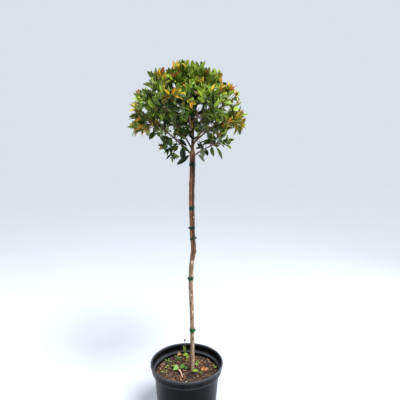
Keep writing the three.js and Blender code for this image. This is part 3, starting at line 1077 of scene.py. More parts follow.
# A few thin shoots hang or lean out below the head, off the bare feet of the boughs: the end and the way it
# points.
LOW_SHOOTS = [
    ((-0.060, -0.022, 0.934), (-0.9, -0.2, -0.40)),
    ((-0.016, -0.044, 0.990), (-0.6, -0.5, 0.5)),
    ((0.062, -0.046, 1.006), (0.5, -0.5, 0.6)),
    ((0.048, -0.040, 0.968), (0.8, -0.4, 0.1)),
    ((0.046, -0.034, 0.950), (0.6, -0.4, 0.4)),
    ((-0.030, -0.036, 0.966), (-0.7, -0.4, 0.2)),
    ((0.088, -0.044, 0.984), (0.8, -0.4, 0.4)),
    ((0.128, -0.024, 0.962), (1.0, 0.0, 0.10)),
    ((0.094, -0.030, 0.952), (0.9, -0.1, -0.10)),
    ((0.074, -0.030, 0.966), (0.4, -0.3, 0.9)),
    ((-0.098, -0.020, 0.984), (-0.9, -0.1, -0.3)),
]
# Other shoots fill the hollow between the head's top and its front.
HOLLOW_SHOOTS = [
    ((0.004, -0.070, 1.128), (0.0, -0.6, 0.8)),
    ((-0.020, -0.062, 1.140), (-0.3, -0.4, 0.9)),
    ((0.030, -0.066, 1.136), (0.3, -0.5, 0.8)),
    ((0.012, -0.052, 1.150), (0.0, -0.4, 1.0)),
    ((0.052, -0.056, 1.128), (0.4, -0.5, 0.8)),
    ((0.022, -0.092, 1.112), (0.1, -0.5, 0.9)),
    ((0.046, -0.086, 1.114), (0.2, -0.5, 0.9)),
    ((0.000, -0.088, 1.114), (-0.2, -0.5, 0.9)),
]
for end, direction in HOLLOW_SHOOTS:
    add_shoot(Vector(end), Vector(direction).normalized(), 0.0)
# Sprays that stand out on the front of the head, mostly of coloured new growth. Each is a fan of leaves at
# the end of a shoot: its x and height, the middle heading and the whole angle of the fan in degrees (0 points
# right, 90 points up), how many leaves, their length, their width as a share of it, and their tints in turn.
FRONT_SPRAYS = [
    (
        -0.050, 1.105, 100, 220, 7, 0.030, 0.23,
        ("growth_yellow", "growth_bronze", "growth_amber", "leaves_lime"),
    ),
    (-0.030, 1.110, 50, 60, 3, 0.024, 0.25, ("growth_yellow", "leaves_lime", "growth_bronze")),
    (0.140, 1.125, 50, 80, 4, 0.028, 0.25, ("growth_yellow", "growth_rust", "growth_amber")),
    (0.110, 1.125, 70, 40, 3, 0.026, 0.30, ("growth_yellow", "growth_amber", "leaves_lime")),
    (0.080, 1.115, 100, 50, 2, 0.028, 0.30, ("growth_yellow", "leaves_bright")),
    (0.045, 1.110, 100, 90, 3, 0.026, 0.35, ("leaves_lime", "leaves_olive", "growth_bronze")),
    (0.040, 1.180, 80, 40, 2, 0.036, 0.30, ("leaves_bright", "leaves_olive")),
    (0.000, 1.195, 90, 60, 3, 0.026, 0.35, ("leaves_bright", "leaves_olive", "growth_yellow")),
    (-0.080, 1.170, 110, 70, 3, 0.026, 0.25, ("growth_rust", "growth_yellow", "growth_amber")),
    (-0.025, 1.190, 100, 50, 2, 0.026, 0.30, ("growth_yellow", "growth_bronze")),
    (-0.110, 1.065, 80, 50, 2, 0.038, 0.40, ("leaves_olive", "leaves_bright")),
    (-0.145, 1.060, 120, 60, 3, 0.028, 0.40, ("leaves_bright", "leaves_pale", "leaves_olive")),
    (-0.155, 1.000, 110, 160, 4, 0.022, 0.35, ("growth_amber", "growth_yellow", "leaves_lime")),
    (0.010, 1.085, -40, 50, 2, 0.024, 0.30, ("growth_amber", "growth_yellow")),
    (0.015, 1.000, 110, 50, 2, 0.032, 0.30, ("growth_yellow", "leaves_mid")),
    (0.180, 1.045, 45, 60, 2, 0.022, 0.30, ("leaves_lime", "growth_rust")),
    (0.140, 1.020, 45, 50, 2, 0.022, 0.35, ("growth_yellow", "growth_amber")),
]
SPRAY_SINK = 0.006
spray_feet = []
for x, height, middle, fan, count, length, ratio, tints in FRONT_SPRAYS:
    sight = Vector((x, 0, height)) - VIEW_PLACE
    surface = head.ray_cast(VIEW_PLACE, sight)[0] or Vector((x, 0, height))
    foot = surface + sight.normalized() * SPRAY_SINK
    direction = (surface - HEAD_MIDDLE).normalized() + Vector((0, 0, 0.6))
    add_shoot(foot, direction.normalized(), 0.0, sparse=True)
    spray_feet.append(foot)
for end, direction in LOW_SHOOTS:
    add_shoot(Vector(end), Vector(direction).normalized(), 0.8, sparse=True)


# Grows a branch to a shoot's end from the wood that gives the shortest natural course.
def grow_branch(shoot):
    target = shoot["end"]
    best = None
    for index, place in enumerate(wood):
        if not place["open"]:
            continue
        way = target - place["point"]
        distance = way.length
        if distance < SHORTEST_BRANCH:
            continue
        forward = way.dot(place["heading"]) / distance
        cost = distance * (1.5 - 0.5 * forward) + 0.6 * max(0, -way.z) + 0.012 * (forward < 0)
        if best is None or cost < best[0]:
            best = (cost, index)
    start = best[1]
    origin = wood[start]["point"]
    way = target - origin
    distance = way.length
    leave = (wood[start]["heading"] * 0.45 + way.normalized() * 0.75).normalized() * distance * 0.9
    arrive = shoot["direction"] * distance * 0.75
    steps = max(4, round(distance * 1.08 / WOOD_STEP))
    seed = Vector([branch_chance.uniform(0, 50) for axis in range(3)])
    chain = [start]
    parent = start
    for step in range(1, steps + 1):
        t = step / steps
        point = flowing_point(origin, leave, target, arrive, t)
        point = point + noise.noise_vector(seed + point * 28) * BRANCH_SWAY * math.sin(math.pi * t)
        heading = (point - wood[parent]["point"]).normalized()
        leafy = (1 - t) * distance < LEAFY_LENGTH
        parent = add_place(point, parent, heading, 0, not leafy)
        chain.append(parent)
    limbs.append({"name": "branch", "start": origin, "chain": chain, "shoot": True, **shoot})


for shoot in shoots:
    grow_branch(shoot)

# A branch's girth follows from how much it carries, as the sum of the thinner ones that leave it.
TIP_RADIUS = 0.00062
MOST_BRANCH_GIRTH = 0.0026
PIPE_POWER = 2.35
for place in reversed(wood):
    place["load"] = max(place["load"] * 1.012, TIP_RADIUS ** PIPE_POWER)
    if place["parent"] >= 0:
        wood[place["parent"]]["load"] += place["load"]
for place in wood:
    grown = place["load"] ** (1 / PIPE_POWER)
    place["girth"] = place["girth"] or min(grown, MOST_BRANCH_GIRTH)


# Old leaves that hang singly from the bare wood below the head: the x and height of the foot and of the tip,
# how far back they hang, the width as a share of the length, and the tint. Each has a thin stalk of its own.
SINGLE_LEAVES = [
    (-0.013, 0.941, -0.011, 0.896, -0.030, 0.44, "leaves_deep"),
    (0.011, 0.916, -0.031, 0.884, -0.026, 0.30, "leaves_deep"),
    (-0.018, 0.944, 0.007, 0.928, -0.034, 0.40, "leaves_dark"),
    (-0.030, 0.966, 0.004, 0.946, -0.038, 0.30, "leaves_deep"),
    (-0.052, 0.972, -0.049, 0.944, -0.030, 0.52, "leaves_olive"),
    (-0.026, 0.944, -0.040, 0.926, -0.026, 0.50, "growth_bronze"),
    (-0.074, 0.972, -0.064, 0.930, -0.034, 0.26, "leaves_mid"),
    (-0.066, 0.942, -0.090, 0.948, -0.036, 0.36, "leaves_dark"),
    (-0.096, 0.990, -0.118, 0.964, -0.040, 0.36, "leaves_dark"),
    (-0.090, 0.988, -0.084, 0.972, -0.042, 0.56, "leaves_mid"),
    (0.048, 0.942, 0.054, 0.906, -0.030, 0.48, "leaves_pale"),
    (0.061, 0.936, 0.068, 0.912, -0.028, 0.48, "leaves_deep"),
    (0.081, 0.944, 0.085, 0.910, -0.030, 0.36, "leaves_mid"),
    (0.092, 0.944, 0.118, 0.904, -0.028, 0.17, "leaves_mid"),
    (0.035, 0.918, 0.060, 0.895, -0.024, 0.22, "leaves_pale"),
    (0.055, 0.935, 0.034, 0.953, -0.030, 0.40, "leaves_deep"),
    (0.070, 0.978, 0.088, 0.958, -0.030, 0.46, "leaves_dark"),
    (0.052, 0.946, 0.074, 0.962, -0.034, 0.40, "leaves_olive"),
    (0.104, 0.956, 0.109, 0.984, -0.034, 0.46, "leaves_pale"),
    (0.112, 0.956, 0.150, 0.964, -0.030, 0.18, "leaves_olive"),
    (0.116, 0.958, 0.140, 0.950, -0.034, 0.28, "leaves_mid"),
    (0.106, 0.954, 0.130, 0.944, -0.032, 0.26, "leaves_bright"),
    (0.004, 0.978, 0.030, 0.966, -0.040, 0.36, "leaves_deep"),
    (-0.024, 0.974, 0.002, 0.966, -0.044, 0.42, "leaves_pale"),
    (-0.004, 0.984, 0.026, 0.988, -0.040, 0.40, "leaves_dark"),
    (-0.025, 0.945, -0.050, 0.930, -0.032, 0.30, "leaves_dark"),
    (-0.040, 0.925, -0.040, 0.900, -0.032, 0.50, "leaves_deep"),
    (0.000, 0.980, -0.020, 0.965, -0.032, 0.35, "leaves_dark"),
    (0.070, 0.960, 0.085, 0.975, -0.032, 0.40, "leaves_olive"),
    (0.020, 0.960, 0.035, 0.975, -0.032, 0.40, "leaves_dark"),
]
STALK_STEPS = 6
STALK_FOOT_RADIUS = 0.0010
STALK_END_RADIUS = 0.00055
lone_leaves = []
for foot_x, foot_height, tip_x, tip_height, depth, ratio, tint in SINGLE_LEAVES:
    foot = Vector((foot_x, depth, foot_height))
    lone_leaves.append((foot, Vector((tip_x, depth - 0.004, tip_height)), ratio, tint))
stalk_courses = []
for foot, tip, ratio, tint in lone_leaves:
    place = min(wood, key=lambda place: (place["point"] - foot).length)
    rise = (foot - place["point"]) * 0.5 + Vector((0, 0, 0.3 * (foot - place["point"]).length))
    bend = place["point"] + rise
    course = []
    for step in range(STALK_STEPS + 1):
        t = step / STALK_STEPS
        point = place["point"].lerp(bend, t).lerp(bend.lerp(foot, t), t)
        course.append((point, between(STALK_FOOT_RADIUS, STALK_END_RADIUS, t)))
    stalk_courses.append(course)

branch_courses = list(stalk_courses)
young_courses = []
for limb in limbs:
    if not limb["shoot"]:
        continue
    last = len(limb["chain"]) - 1
    young = max(1, last - round(YOUNG_LENGTH / WOOD_STEP))
    branch_courses.append(smooth_course(limb, 0, young, 2))
    young_courses.append(smooth_course(limb, young, last, 2))

branch_bark = grained_finish(
    "branch_bark",
    (0.13, 0.065, 0.04),
    0.75,
    grain=(320, 4, 0.6),
    stops=[(0.3, (0.060, 0.030, 0.018)), (0.55, (0.13, 0.066, 0.040)), (0.8, (0.22, 0.13, 0.085))],
    raised=(0.0008, 0.6),
    Specular_IOR_Level=0.35,
)
branch_shape = limbs_mesh("branches", branch_courses, 2)
roughen(branch_shape, 0.00018, 260)
branches = new_piece("branches", branch_shape, [branch_bark])
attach(branches, "root")

young_bark = grained_finish(
    "young_shoots",
    (0.13, 0.105, 0.035),
    0.5,
    grain=(90, 3, 0.5),
    stops=[(0.35, (0.17, 0.07, 0.03)), (0.65, (0.15, 0.15, 0.04))],
    Specular_IOR_Level=0.4,
)
young_shoots = new_piece("young_shoots", limbs_mesh("young_shoots", young_courses, 1), [young_bark])
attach(young_shoots, "root")

# The leaves: small, leathery and glossy, in opposite pairs, each pair turned a quarter from the last. Old
# ones inside and below are deep blue-green, and they grow lighter towards the light and the shoots' tips:
# partly the leaves' own colour and partly painted shade and light, since each shoot's tints follow the light
# it gets.
LEAF_ALONG = 7
LEAF_ACROSS = 4
LEAF_THICKNESS = 0.011
leaf_chance = random.Random(108)


# A leaf of unit length along +X, with its stalk at the origin: a closed thin blade, folded along the midrib
# and bent along its length. The second material is its underside.
def leaf_mesh(name, widest, fold, bend, lift, twist, wave):
    shape = bmesh.new()
    bmesh.ops.create_grid(shape, x_segments=LEAF_ALONG, y_segments=LEAF_ACROSS, size=1, calc_uvs=False)
    under = bmesh.ops.duplicate(shape, geom=shape.verts[:] + shape.edges[:] + shape.faces[:])["geom"]
    under_faces = [item for item in under if isinstance(item, bmesh.types.BMFace)]
    under_verts = {item for item in under if isinstance(item, bmesh.types.BMVert)}
    bmesh.ops.reverse_faces(shape, faces=under_faces)
    for face in under_faces:
        face.material_index = 1
    for vertex in shape.verts:
        along = (vertex.co.x + 1) / 2
        along = between(along, rise_between(along, 0, 1), 0.45)
        across = vertex.co.y
        blade = max(0, (along - 0.07) / 0.93)
        half = 0.5 * math.sin(math.pi * blade ** widest) ** 0.72 if 0 < blade < 1 else 0
        half = max(half, 0.035 if along < 0.2 else 0)
        if along > 0.999:
            half = 0
        edge = abs(across)
        body = (1 - edge ** 2) * math.sin(math.pi * min(max(along, 0.02), 0.98))
        sink = LEAF_THICKNESS * body if vertex in under_verts else 0
        sway = wave * math.sin(along * 11 + 1.7 * across) * edge
        height = fold * edge * half * 2 - bend * along ** 2 + lift * along - sink + sway * half
        turn = twist * along
        side = across * half
        vertex.co = (along, side * math.cos(turn), height + side * math.sin(turn))
    bmesh.ops.remove_doubles(shape, verts=shape.verts, dist=1e-4)
    for edge in shape.edges:
        faces = edge.link_faces
        edge.smooth = not (len(faces) == 2 and faces[0].material_index != faces[1].material_index)
    for face in shape.faces:
        face.smooth = True
    return mesh_of(name, shape)


# The least and the most of each value of a leaf: where it is widest, its fold, bend, lift, twist and wave.
GROWN_KINDS = 10
GROWN_RANGES = [(0.82, 1.0), (0.03, 0.11), (0.04, 0.34), (0.0, 0.12), (-0.35, 0.35), (0.0, 0.05)]
YOUNG_KINDS = 6
YOUNG_RANGES = [(0.78, 0.9), (0.10, 0.18), (0.15, 0.75), (0.1, 0.45), (-0.5, 0.5), (0.02, 0.08)]


def leaf_kinds(name, count, ranges):
    kinds = []
    for index in range(count):
        values = [leaf_chance.uniform(low, high) for low, high in ranges]
        kinds.append(leaf_mesh(f"{name}_{index}", *values))
    return kinds


grown_leaves = leaf_kinds("grown", GROWN_KINDS, GROWN_RANGES)
young_leaves = leaf_kinds("young", YOUNG_KINDS, YOUNG_RANGES)

# Name: the upper side's colour, the underside's colour, roughness.
LEAF_TINTS = {
    "leaves_pale": ((0.165, 0.205, 0.105), (0.240, 0.280, 0.175), 0.40),
    "leaves_deep": ((0.008, 0.020, 0.006), (0.048, 0.074, 0.022), 0.36),
    "leaves_dark": ((0.028, 0.056, 0.007), (0.090, 0.130, 0.030), 0.36),
    "leaves_mid": ((0.068, 0.124, 0.007), (0.140, 0.190, 0.036), 0.37),
    "leaves_olive": ((0.120, 0.196, 0.014), (0.190, 0.240, 0.050), 0.38),
    "leaves_bright": ((0.190, 0.300, 0.024), (0.260, 0.330, 0.070), 0.40),
    "leaves_lime": ((0.290, 0.420, 0.036), (0.360, 0.430, 0.085), 0.42),
    "growth_yellow": ((0.530, 0.375, 0.012), (0.540, 0.410, 0.050), 0.44),
    "growth_amber": ((0.500, 0.215, 0.012), (0.500, 0.260, 0.045), 0.44),
    "growth_rust": ((0.310, 0.085, 0.016), (0.360, 0.140, 0.045), 0.44),
    "growth_bronze": ((0.240, 0.150, 0.014), (0.280, 0.190, 0.045), 0.42),
    "growth_pink": ((0.400, 0.120, 0.070), (0.470, 0.200, 0.140), 0.46),
}
GREENS = ["leaves_deep", "leaves_dark", "leaves_mid", "leaves_olive", "leaves_bright", "leaves_lime"]
leaf_shapes = {name: bmesh.new() for name in LEAF_TINTS}

# Places where the new growth colours strongly: x, height, reach, and the tints found there.
FLUSHES = [
    (-0.061, 1.117, 0.034, ("growth_yellow", "growth_amber", "growth_yellow")),
    (-0.083, 1.186, 0.022, ("growth_rust", "growth_pink", "growth_amber", "leaves_bright")),
    (-0.022, 1.209, 0.026, ("growth_yellow", "growth_amber", "leaves_lime")),
    (0.022, 1.216, 0.022, ("growth_amber", "growth_rust", "growth_yellow")),
    (0.066, 1.190, 0.022, ("growth_bronze", "growth_pink", "leaves_lime")),
    (0.112, 1.176, 0.028, ("growth_rust", "growth_amber", "growth_pink")),
    (0.140, 1.148, 0.040, ("growth_amber", "growth_yellow", "growth_yellow", "growth_rust")),
    (0.168, 1.120, 0.034, ("growth_yellow", "growth_rust", "growth_yellow", "leaves_lime")),
    (0.115, 1.120, 0.030, ("growth_yellow", "leaves_lime", "growth_amber")),
    (0.052, 1.145, 0.024, ("growth_yellow", "growth_bronze", "leaves_lime")),
    (0.185, 1.055, 0.026, ("growth_rust", "growth_pink", "growth_yellow")),
    (0.156, 1.020, 0.038, ("growth_yellow", "growth_bronze", "growth_yellow")),
    (-0.152, 1.015, 0.042, ("growth_yellow", "growth_amber", "growth_bronze", "growth_yellow")),
    (-0.164, 1.062, 0.028, ("growth_yellow", "growth_bronze", "leaves_lime")),
    (-0.006, 1.056, 0.028, ("growth_yellow", "leaves_bright", "growth_bronze")),
]


# The place of a leaf: the foot of its stalk, the way it points, the way its upper side faces, and its size.
def leaf_matrix(at, along, facing, length, width):
    along = along.normalized()
    facing = facing - along * facing.dot(along)
    if facing.length < 1e-3:
        facing = along.orthogonal()
    facing.normalize()
    side = facing.cross(along)
    return Matrix((
        (along.x * length, side.x * width, facing.x * length, at.x),
        (along.y * length, side.y * width, facing.y * length, at.y),
        (along.z * length, side.z * width, facing.z * length, at.z),
        (0, 0, 0, 1),
    ))


def stand_leaf(tint, mesh, at, along, facing, length, width):
    stamp(leaf_shapes[tint], mesh, leaf_matrix(at, along, facing, length, width))


# Openings where the sky shows through the head from the front: x, height and reach.
OPENINGS = [
    (0.043, 1.068, 0.012),
    (0.044, 1.036, 0.009),
    (0.060, 0.976, 0.011),
    (0.070, 1.072, 0.006),
    (-0.030, 1.076, 0.006),
    (-0.076, 1.072, 0.006),
    (0.004, 0.963, 0.013),
    (0.093, 1.126, 0.006),
    (0.131, 1.070, 0.011),
    (-0.138, 1.063, 0.008),
    (-0.037, 1.142, 0.008),
    (0.128, 1.168, 0.013),
    (0.148, 1.108, 0.008),
    (0.150, 0.992, 0.012),
    (-0.090, 0.990, 0.008),
    (-0.060, 0.985, 0.009),
    (-0.076, 1.018, 0.008),
    (-0.128, 1.020, 0.008),
    (-0.048, 1.003, 0.008),
    (-0.018, 1.060, 0.008),
    (0.110, 1.078, 0.009),
    (0.080, 1.016, 0.009),
    (-0.114, 1.004, 0.007),
]


# Stretches of wood that show in front of the leaves: the limb, and from which to which share of its length.
BARE_STRETCHES = {"left": (0.05, 0.82), "right": (0.02, 0.60), "right_low": (0.0, 1.0)}
BARE_MARGIN = 0.006
BARE_REACH = 0.0065
bare_points = [trunk_centre(TRUNK_FORK_HEIGHT + 0.006 * step) for step in range(8)]
for limb in limbs:
    if limb["name"] in BARE_STRETCHES:
        first, last = BARE_STRETCHES[limb["name"]]
        for slot, index in enumerate(limb["chain"]):
            if first <= slot / (len(limb["chain"]) - 1) <= last:
                bare_points.append(wood[index]["point"])


# Whether a place hides one of those stretches from the front.
def hides_wood(point):
    sight = point - VIEW_PLACE
    for place in bare_points:
        line = place - VIEW_PLACE
        beside = sight.cross(line).length / line.length
        if sight.length < line.length - BARE_MARGIN and beside < BARE_REACH:
            return True
    return False


def in_opening(point):
    sight = point - VIEW_PLACE
    for x, height, reach in OPENINGS:
        line = Vector((x, 0.01, height)) - VIEW_PLACE
        if sight.cross(line).length / line.length < reach:
            return True
    return False


# The leaf tips' room, which is the model's box and a little more.
TIP_LOW = (-0.195, -0.182, 0)
TIP_HIGH = (0.208, 0.196, 1.236)


# Puts a leaf on a shoot, unless it would fill an opening, hide bare wood or stick out of the head.
def set_leaf(tint, mesh, at, along, facing, length, width):
    along = along.normalized()
    tip = at + along * length
    for share in (0.2, 0.4, 0.6, 0.8, 1.0):
        point = at + along * length * share
        if in_opening(point) or hides_wood(point):
            return
    if not all(low < value < high for low, value, high in zip(TIP_LOW, tip, TIP_HIGH)):
        return
    stand_leaf(tint, mesh, at, along, facing, length, width)


# Each pair of leaves from the end of the shoot backwards: how far back it stands, how long its leaves are,
# and how far they lean out from the shoot in degrees.
LEAF_PAIRS = [
    (0.001, 0.017, 13),
    (0.008, 0.030, 25),
    (0.018, 0.039, 37),
    (0.031, 0.043, 46),
    (0.045, 0.044, 53),
]
# How likely the leaves of the first pairs are to have a flush's colour.
FLUSH_SHARES = [0.90, 0.60, 0.15]
LONE_FLUSH_CHANCE = 0.22
LOW_FLUSH_CHANCE = 0.30
LOW_FLUSH_HEIGHT = 1.03
LOST_LEAF_CHANCE = 0.30
SPARSE_LOST_CHANCE = 0.35
# The light that a shoot gets, painted into its leaves as steps of tint: at least, by height, by reach, and
# what shade takes.
LIGHT_BASE = 1.2
LIGHT_BY_HEIGHT = 2.4
LIGHT_BY_REACH = 1.1
SHADE_UNDER = 1.0
SHADE_OF_BROW = 1.1
LIGHT_SCATTER = 0.6
TINT_SCATTER = 1.05
SHADE_BY_PAIR = 0.45


# The point of a course at a distance back from its end, and the way the course heads there.
def course_at(points, back):
    for index in range(len(points) - 1, 0, -1):
        step = (points[index] - points[index - 1]).length
        if back <= step:
            heading = (points[index] - points[index - 1]).normalized()
            return points[index].lerp(points[index - 1], back / step), heading
        back -= step
    return None, None


for limb in limbs:
    if not limb["shoot"]:
        continue
    points = [wood[index]["point"] for index in limb["chain"]]
    end = points[-1]
    height_share = (end.z - 0.93) / 0.26
    out_share = Vector((end.x - HEAD_MIDDLE.x, end.y - HEAD_MIDDLE.y)).length / 0.16
    light = LIGHT_BASE + LIGHT_BY_HEIGHT * height_share + LIGHT_BY_REACH * out_share
    light -= SHADE_UNDER * limb["under"]
    # The front of the head below its brow stands in its own shade, painted as darker tints.
    brow = rise_between(-end.y, 0.05, 0.11) * (1 - rise_between(abs(end.x - 0.01), 0.05, 0.11))
    light -= SHADE_OF_BROW * brow * (1 - rise_between(end.z, 1.08, 1.13))
    light += leaf_chance.gauss(0, LIGHT_SCATTER)
    # Shoots inside the head get darker tints, as painted shade.
    if limb["inner"]:
        light *= between(0.35, 0.6, rise_between(end.z, 1.08, 1.14))
    flush = None
    for x, height, reach, tints in FLUSHES:
        if math.hypot(end.x - x, end.z - height) < reach and not limb["inner"]:
            flush = tints
    lit = not limb["inner"] and limb["under"] < 0.5
    if flush is None and lit and leaf_chance.random() < LONE_FLUSH_CHANCE:
        growth = leaf_chance.choice(("growth_yellow", "growth_rust", "growth_amber", "growth_bronze"))
        flush = (growth, "leaves_lime")
    if flush is None and end.z < LOW_FLUSH_HEIGHT and leaf_chance.random() < LOW_FLUSH_CHANCE:
        flush = ("growth_bronze", "growth_rust", "growth_yellow", "leaves_olive")
    quarter = leaf_chance.uniform(0, math.pi)
    pairs = leaf_chance.choice((4, 5, 5)) if not limb["inner"] else leaf_chance.choice((3, 4))
    if limb["sparse"]:
        pairs = 3
    vigour = leaf_chance.uniform(0.86, 1.14)
    for pair in range(pairs):
        station, pair_length, pair_spread = LEAF_PAIRS[pair]
        at, heading = course_at(points, station * vigour)
        if at is None:
            break
        first = heading.orthogonal().normalized()
        second = heading.cross(first)
        for half in (0, 1):
            if pair >= 3 and leaf_chance.random() < LOST_LEAF_CHANCE:
                continue
            if limb["sparse"] and leaf_chance.random() < SPARSE_LOST_CHANCE:
                continue
            turn = quarter + pair * math.pi / 2 + half * math.pi + leaf_chance.gauss(0, 0.22)
            outward = first * math.cos(turn) + second * math.sin(turn)
            spread = math.radians(pair_spread + leaf_chance.gauss(0, 9))
            along = heading * math.cos(spread) + outward * math.sin(spread)
            droop = between(0.02, 0.75, limb["under"]) * leaf_chance.uniform(0.3, 1.3) * min(1, pair / 3)
            along = along + Vector((0, 0, 0.28 * (1 - limb["under"]) - droop))
            away = Vector((at.x - HEAD_MIDDLE.x, at.y - HEAD_MIDDLE.y, 0)).normalized()
            facing = heading * 0.35 + Vector((0, 0, 0.32)) + away * 0.8
            roll = Vector([leaf_chance.gauss(0, 0.30) for axis in range(3)])
            length = pair_length * vigour * leaf_chance.uniform(0.85, 1.15)
            # Leaves are broader and longer in the light than in the shade of the head.
            broad = max(rise_between(at.z, 1.03, 1.13), 0.6 * rise_between(abs(at.x - 0.01), 0.08, 0.14))
            length *= between(0.72, 0.95, broad) * between(1.0, 1.18, limb["under"])
            ratio = leaf_chance.uniform(0.37, 0.47)
            shade = light - SHADE_BY_PAIR * max(pair - 1, 0) + leaf_chance.gauss(0, TINT_SCATTER)
            tint = GREENS[min(max(round(shade), 0), len(GREENS) - 1)]
            mesh = leaf_chance.choice(grown_leaves)
            if pair == 0:
                mesh = leaf_chance.choice(young_leaves)
                ratio *= 0.8
            if flush and pair < 3 and leaf_chance.random() < FLUSH_SHARES[pair]:
                tint = leaf_chance.choice(flush)
                mesh = leaf_chance.choice(young_leaves)
                ratio *= 0.72
            set_leaf(tint, mesh, at, along, facing + roll, length, length * ratio)

for foot, tip, ratio, tint in lone_leaves:
    along = tip - foot + Vector((0, leaf_chance.uniform(-0.008, 0.008), 0))
    facing = Vector((leaf_chance.uniform(-0.6, 0.6), -1, 0.5))
    length = along.length
    stand_leaf(tint, leaf_chance.choice(grown_leaves), foot, along, facing, length, length * ratio)
for foot, (x, height, middle, fan, count, length, ratio, tints) in zip(spray_feet, FRONT_SPRAYS):
    for index in range(count):
        heading = math.radians(middle + fan * (index / (count - 1) - 0.5) + leaf_chance.gauss(0, 4))
        along = Vector((math.cos(heading), leaf_chance.uniform(-0.45, -0.05), math.sin(heading)))
        facing = Vector((leaf_chance.uniform(-0.3, 0.3), -1, 0.4))
        tint = tints[index % len(tints)]
        mesh = leaf_chance.choice(young_leaves if tint.startswith("growth") else grown_leaves)
        size = length * leaf_chance.uniform(0.85, 1.15)
        stand_leaf(tint, mesh, foot, along, facing, size, size * ratio)

for name, (upper, lower, roughness) in LEAF_TINTS.items():
    shine = 0.2 if name in ("leaves_deep", "leaves_dark") else 0.34
    rough = roughness - 0.02
    veins = (420, 3, 0.5)
    finishes = [
        grained_finish(name, upper, rough, veins, raised=(0.0006, 0.5), Specular_IOR_Level=shine),
        grained_finish(f"{name}_under", lower, 0.6, veins, raised=(0.0008, 0.5), Specular_IOR_Level=0.25),
    ]
    leaves = new_piece(name, leaf_shapes[name], finishes)
    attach(leaves, "root")
    if name == "leaves_dark":
        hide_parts(*mass_names)

# The litter on the compost: self-sown seedlings with small soft leaves, dry curled leaves and a peeled stick,
# which grew or fell there. The seedling at the back is tall, with a spent dark bud on a thread of a stem.
WEED_TINTS = {
    "weed_lime": ((0.170, 0.265, 0.025), (0.210, 0.290, 0.070)),
    "weed_green": ((0.070, 0.170, 0.020), (0.120, 0.210, 0.060)),
    "weed_mint": ((0.170, 0.300, 0.085), (0.200, 0.310, 0.130)),
    "weed_dark": ((0.022, 0.070, 0.010), (0.060, 0.110, 0.035)),
    "dry_orange": ((0.420, 0.165, 0.040), (0.380, 0.190, 0.080)),
    "dry_tan": ((0.420, 0.230, 0.110), (0.400, 0.250, 0.140)),
}
# The tint, the foot's x and y, the heading in degrees, the length, its width as a share, and the tip's rise.
WEED_LEAVES = [
    ("weed_lime", -0.014, 0.088, 20, 0.020, 0.62, 0.30),
    ("weed_lime", 0.008, 0.084, 235, 0.016, 0.55, 0.20),
    ("weed_lime", -0.004, 0.070, 300, 0.010, 0.55, 0.35),
    ("weed_green", -0.022, 0.070, 120, 0.013, 0.60, 0.25),
    ("weed_green", -0.024, 0.074, 200, 0.011, 0.55, 0.40),
    ("weed_dark", -0.030, 0.066, 210, 0.011, 0.60, 0.20),
    ("weed_green", -0.034, 0.078, 160, 0.012, 0.60, 0.35),
    ("weed_dark", -0.028, 0.062, 320, 0.011, 0.60, 0.15),
    ("dry_tan", -0.034, 0.094, 45, 0.021, 0.40, 0.45),
    ("dry_orange", -0.024, 0.100, 10, 0.014, 0.45, 0.55),
    ("weed_mint", -0.027, 0.012, 215, 0.022, 0.70, 0.22),
    ("weed_mint", -0.029, 0.014, 150, 0.017, 0.60, 0.45),
    ("weed_lime", -0.036, 0.020, 165, 0.018, 0.42, 0.35),
    ("weed_green", -0.024, 0.010, 15, 0.019, 0.72, 0.35),
    ("weed_green", -0.018, 0.016, 60, 0.015, 0.65, 0.50),
    ("weed_dark", -0.012, 0.010, 350, 0.016, 0.62, 0.25),
    ("weed_dark", -0.004, 0.012, 20, 0.012, 0.60, 0.20),
    ("weed_lime", 0.038, -0.010, 195, 0.019, 0.66, 0.30),
    ("weed_green", 0.036, -0.013, 120, 0.013, 0.60, 0.45),
    ("weed_green", 0.038, -0.018, 340, 0.017, 0.40, 0.20),
    ("dry_orange", 0.046, 0.006, 350, 0.016, 0.62, 0.30),
    ("dry_orange", 0.060, 0.000, 30, 0.013, 0.60, 0.45),
    ("dry_tan", 0.052, -0.004, 60, 0.011, 0.55, 0.35),
    ("weed_lime", 0.027, 0.034, 330, 0.014, 0.70, 0.30),
    ("weed_green", 0.034, 0.040, 80, 0.011, 0.60, 0.40),
    ("weed_lime", 0.093, 0.012, 0, 0.010, 0.65, 0.30),
    ("weed_green", 0.090, 0.018, 60, 0.009, 0.65, 0.30),
    ("weed_lime", -0.078, -0.006, 200, 0.010, 0.65, 0.30),
]
# Tufts of tiny seedlings: the middle's x and y, the reach, and how many.
WEED_TUFTS = [
    (-0.064, 0.056, 0.014, 9),
    (-0.070, 0.026, 0.010, 5),
    (-0.072, -0.006, 0.010, 5),
    (0.036, 0.052, 0.008, 3),
]
weed_chance = random.Random(63)
for middle_x, middle_y, reach, count in WEED_TUFTS:
    for index in range(count):
        away = weed_chance.uniform(0, reach)
        turn = weed_chance.uniform(0, 2 * math.pi)
        tint = weed_chance.choice(("weed_green", "weed_green", "weed_lime", "weed_mint"))
        x = middle_x + away * math.cos(turn)
        y = middle_y + away * math.sin(turn)
        size = weed_chance.uniform(0.005, 0.008)
        heading = weed_chance.uniform(0, 360)
        WEED_LEAVES.append((tint, x, y, heading, size, 0.66, weed_chance.uniform(0.1, 0.5)))
weed_shapes = {name: bmesh.new() for name in WEED_TINTS}
weed_stems = []


def heading_vector(degrees, rise):
    turn = math.radians(degrees)
    return Vector((math.cos(turn), math.sin(turn), rise)).normalized()


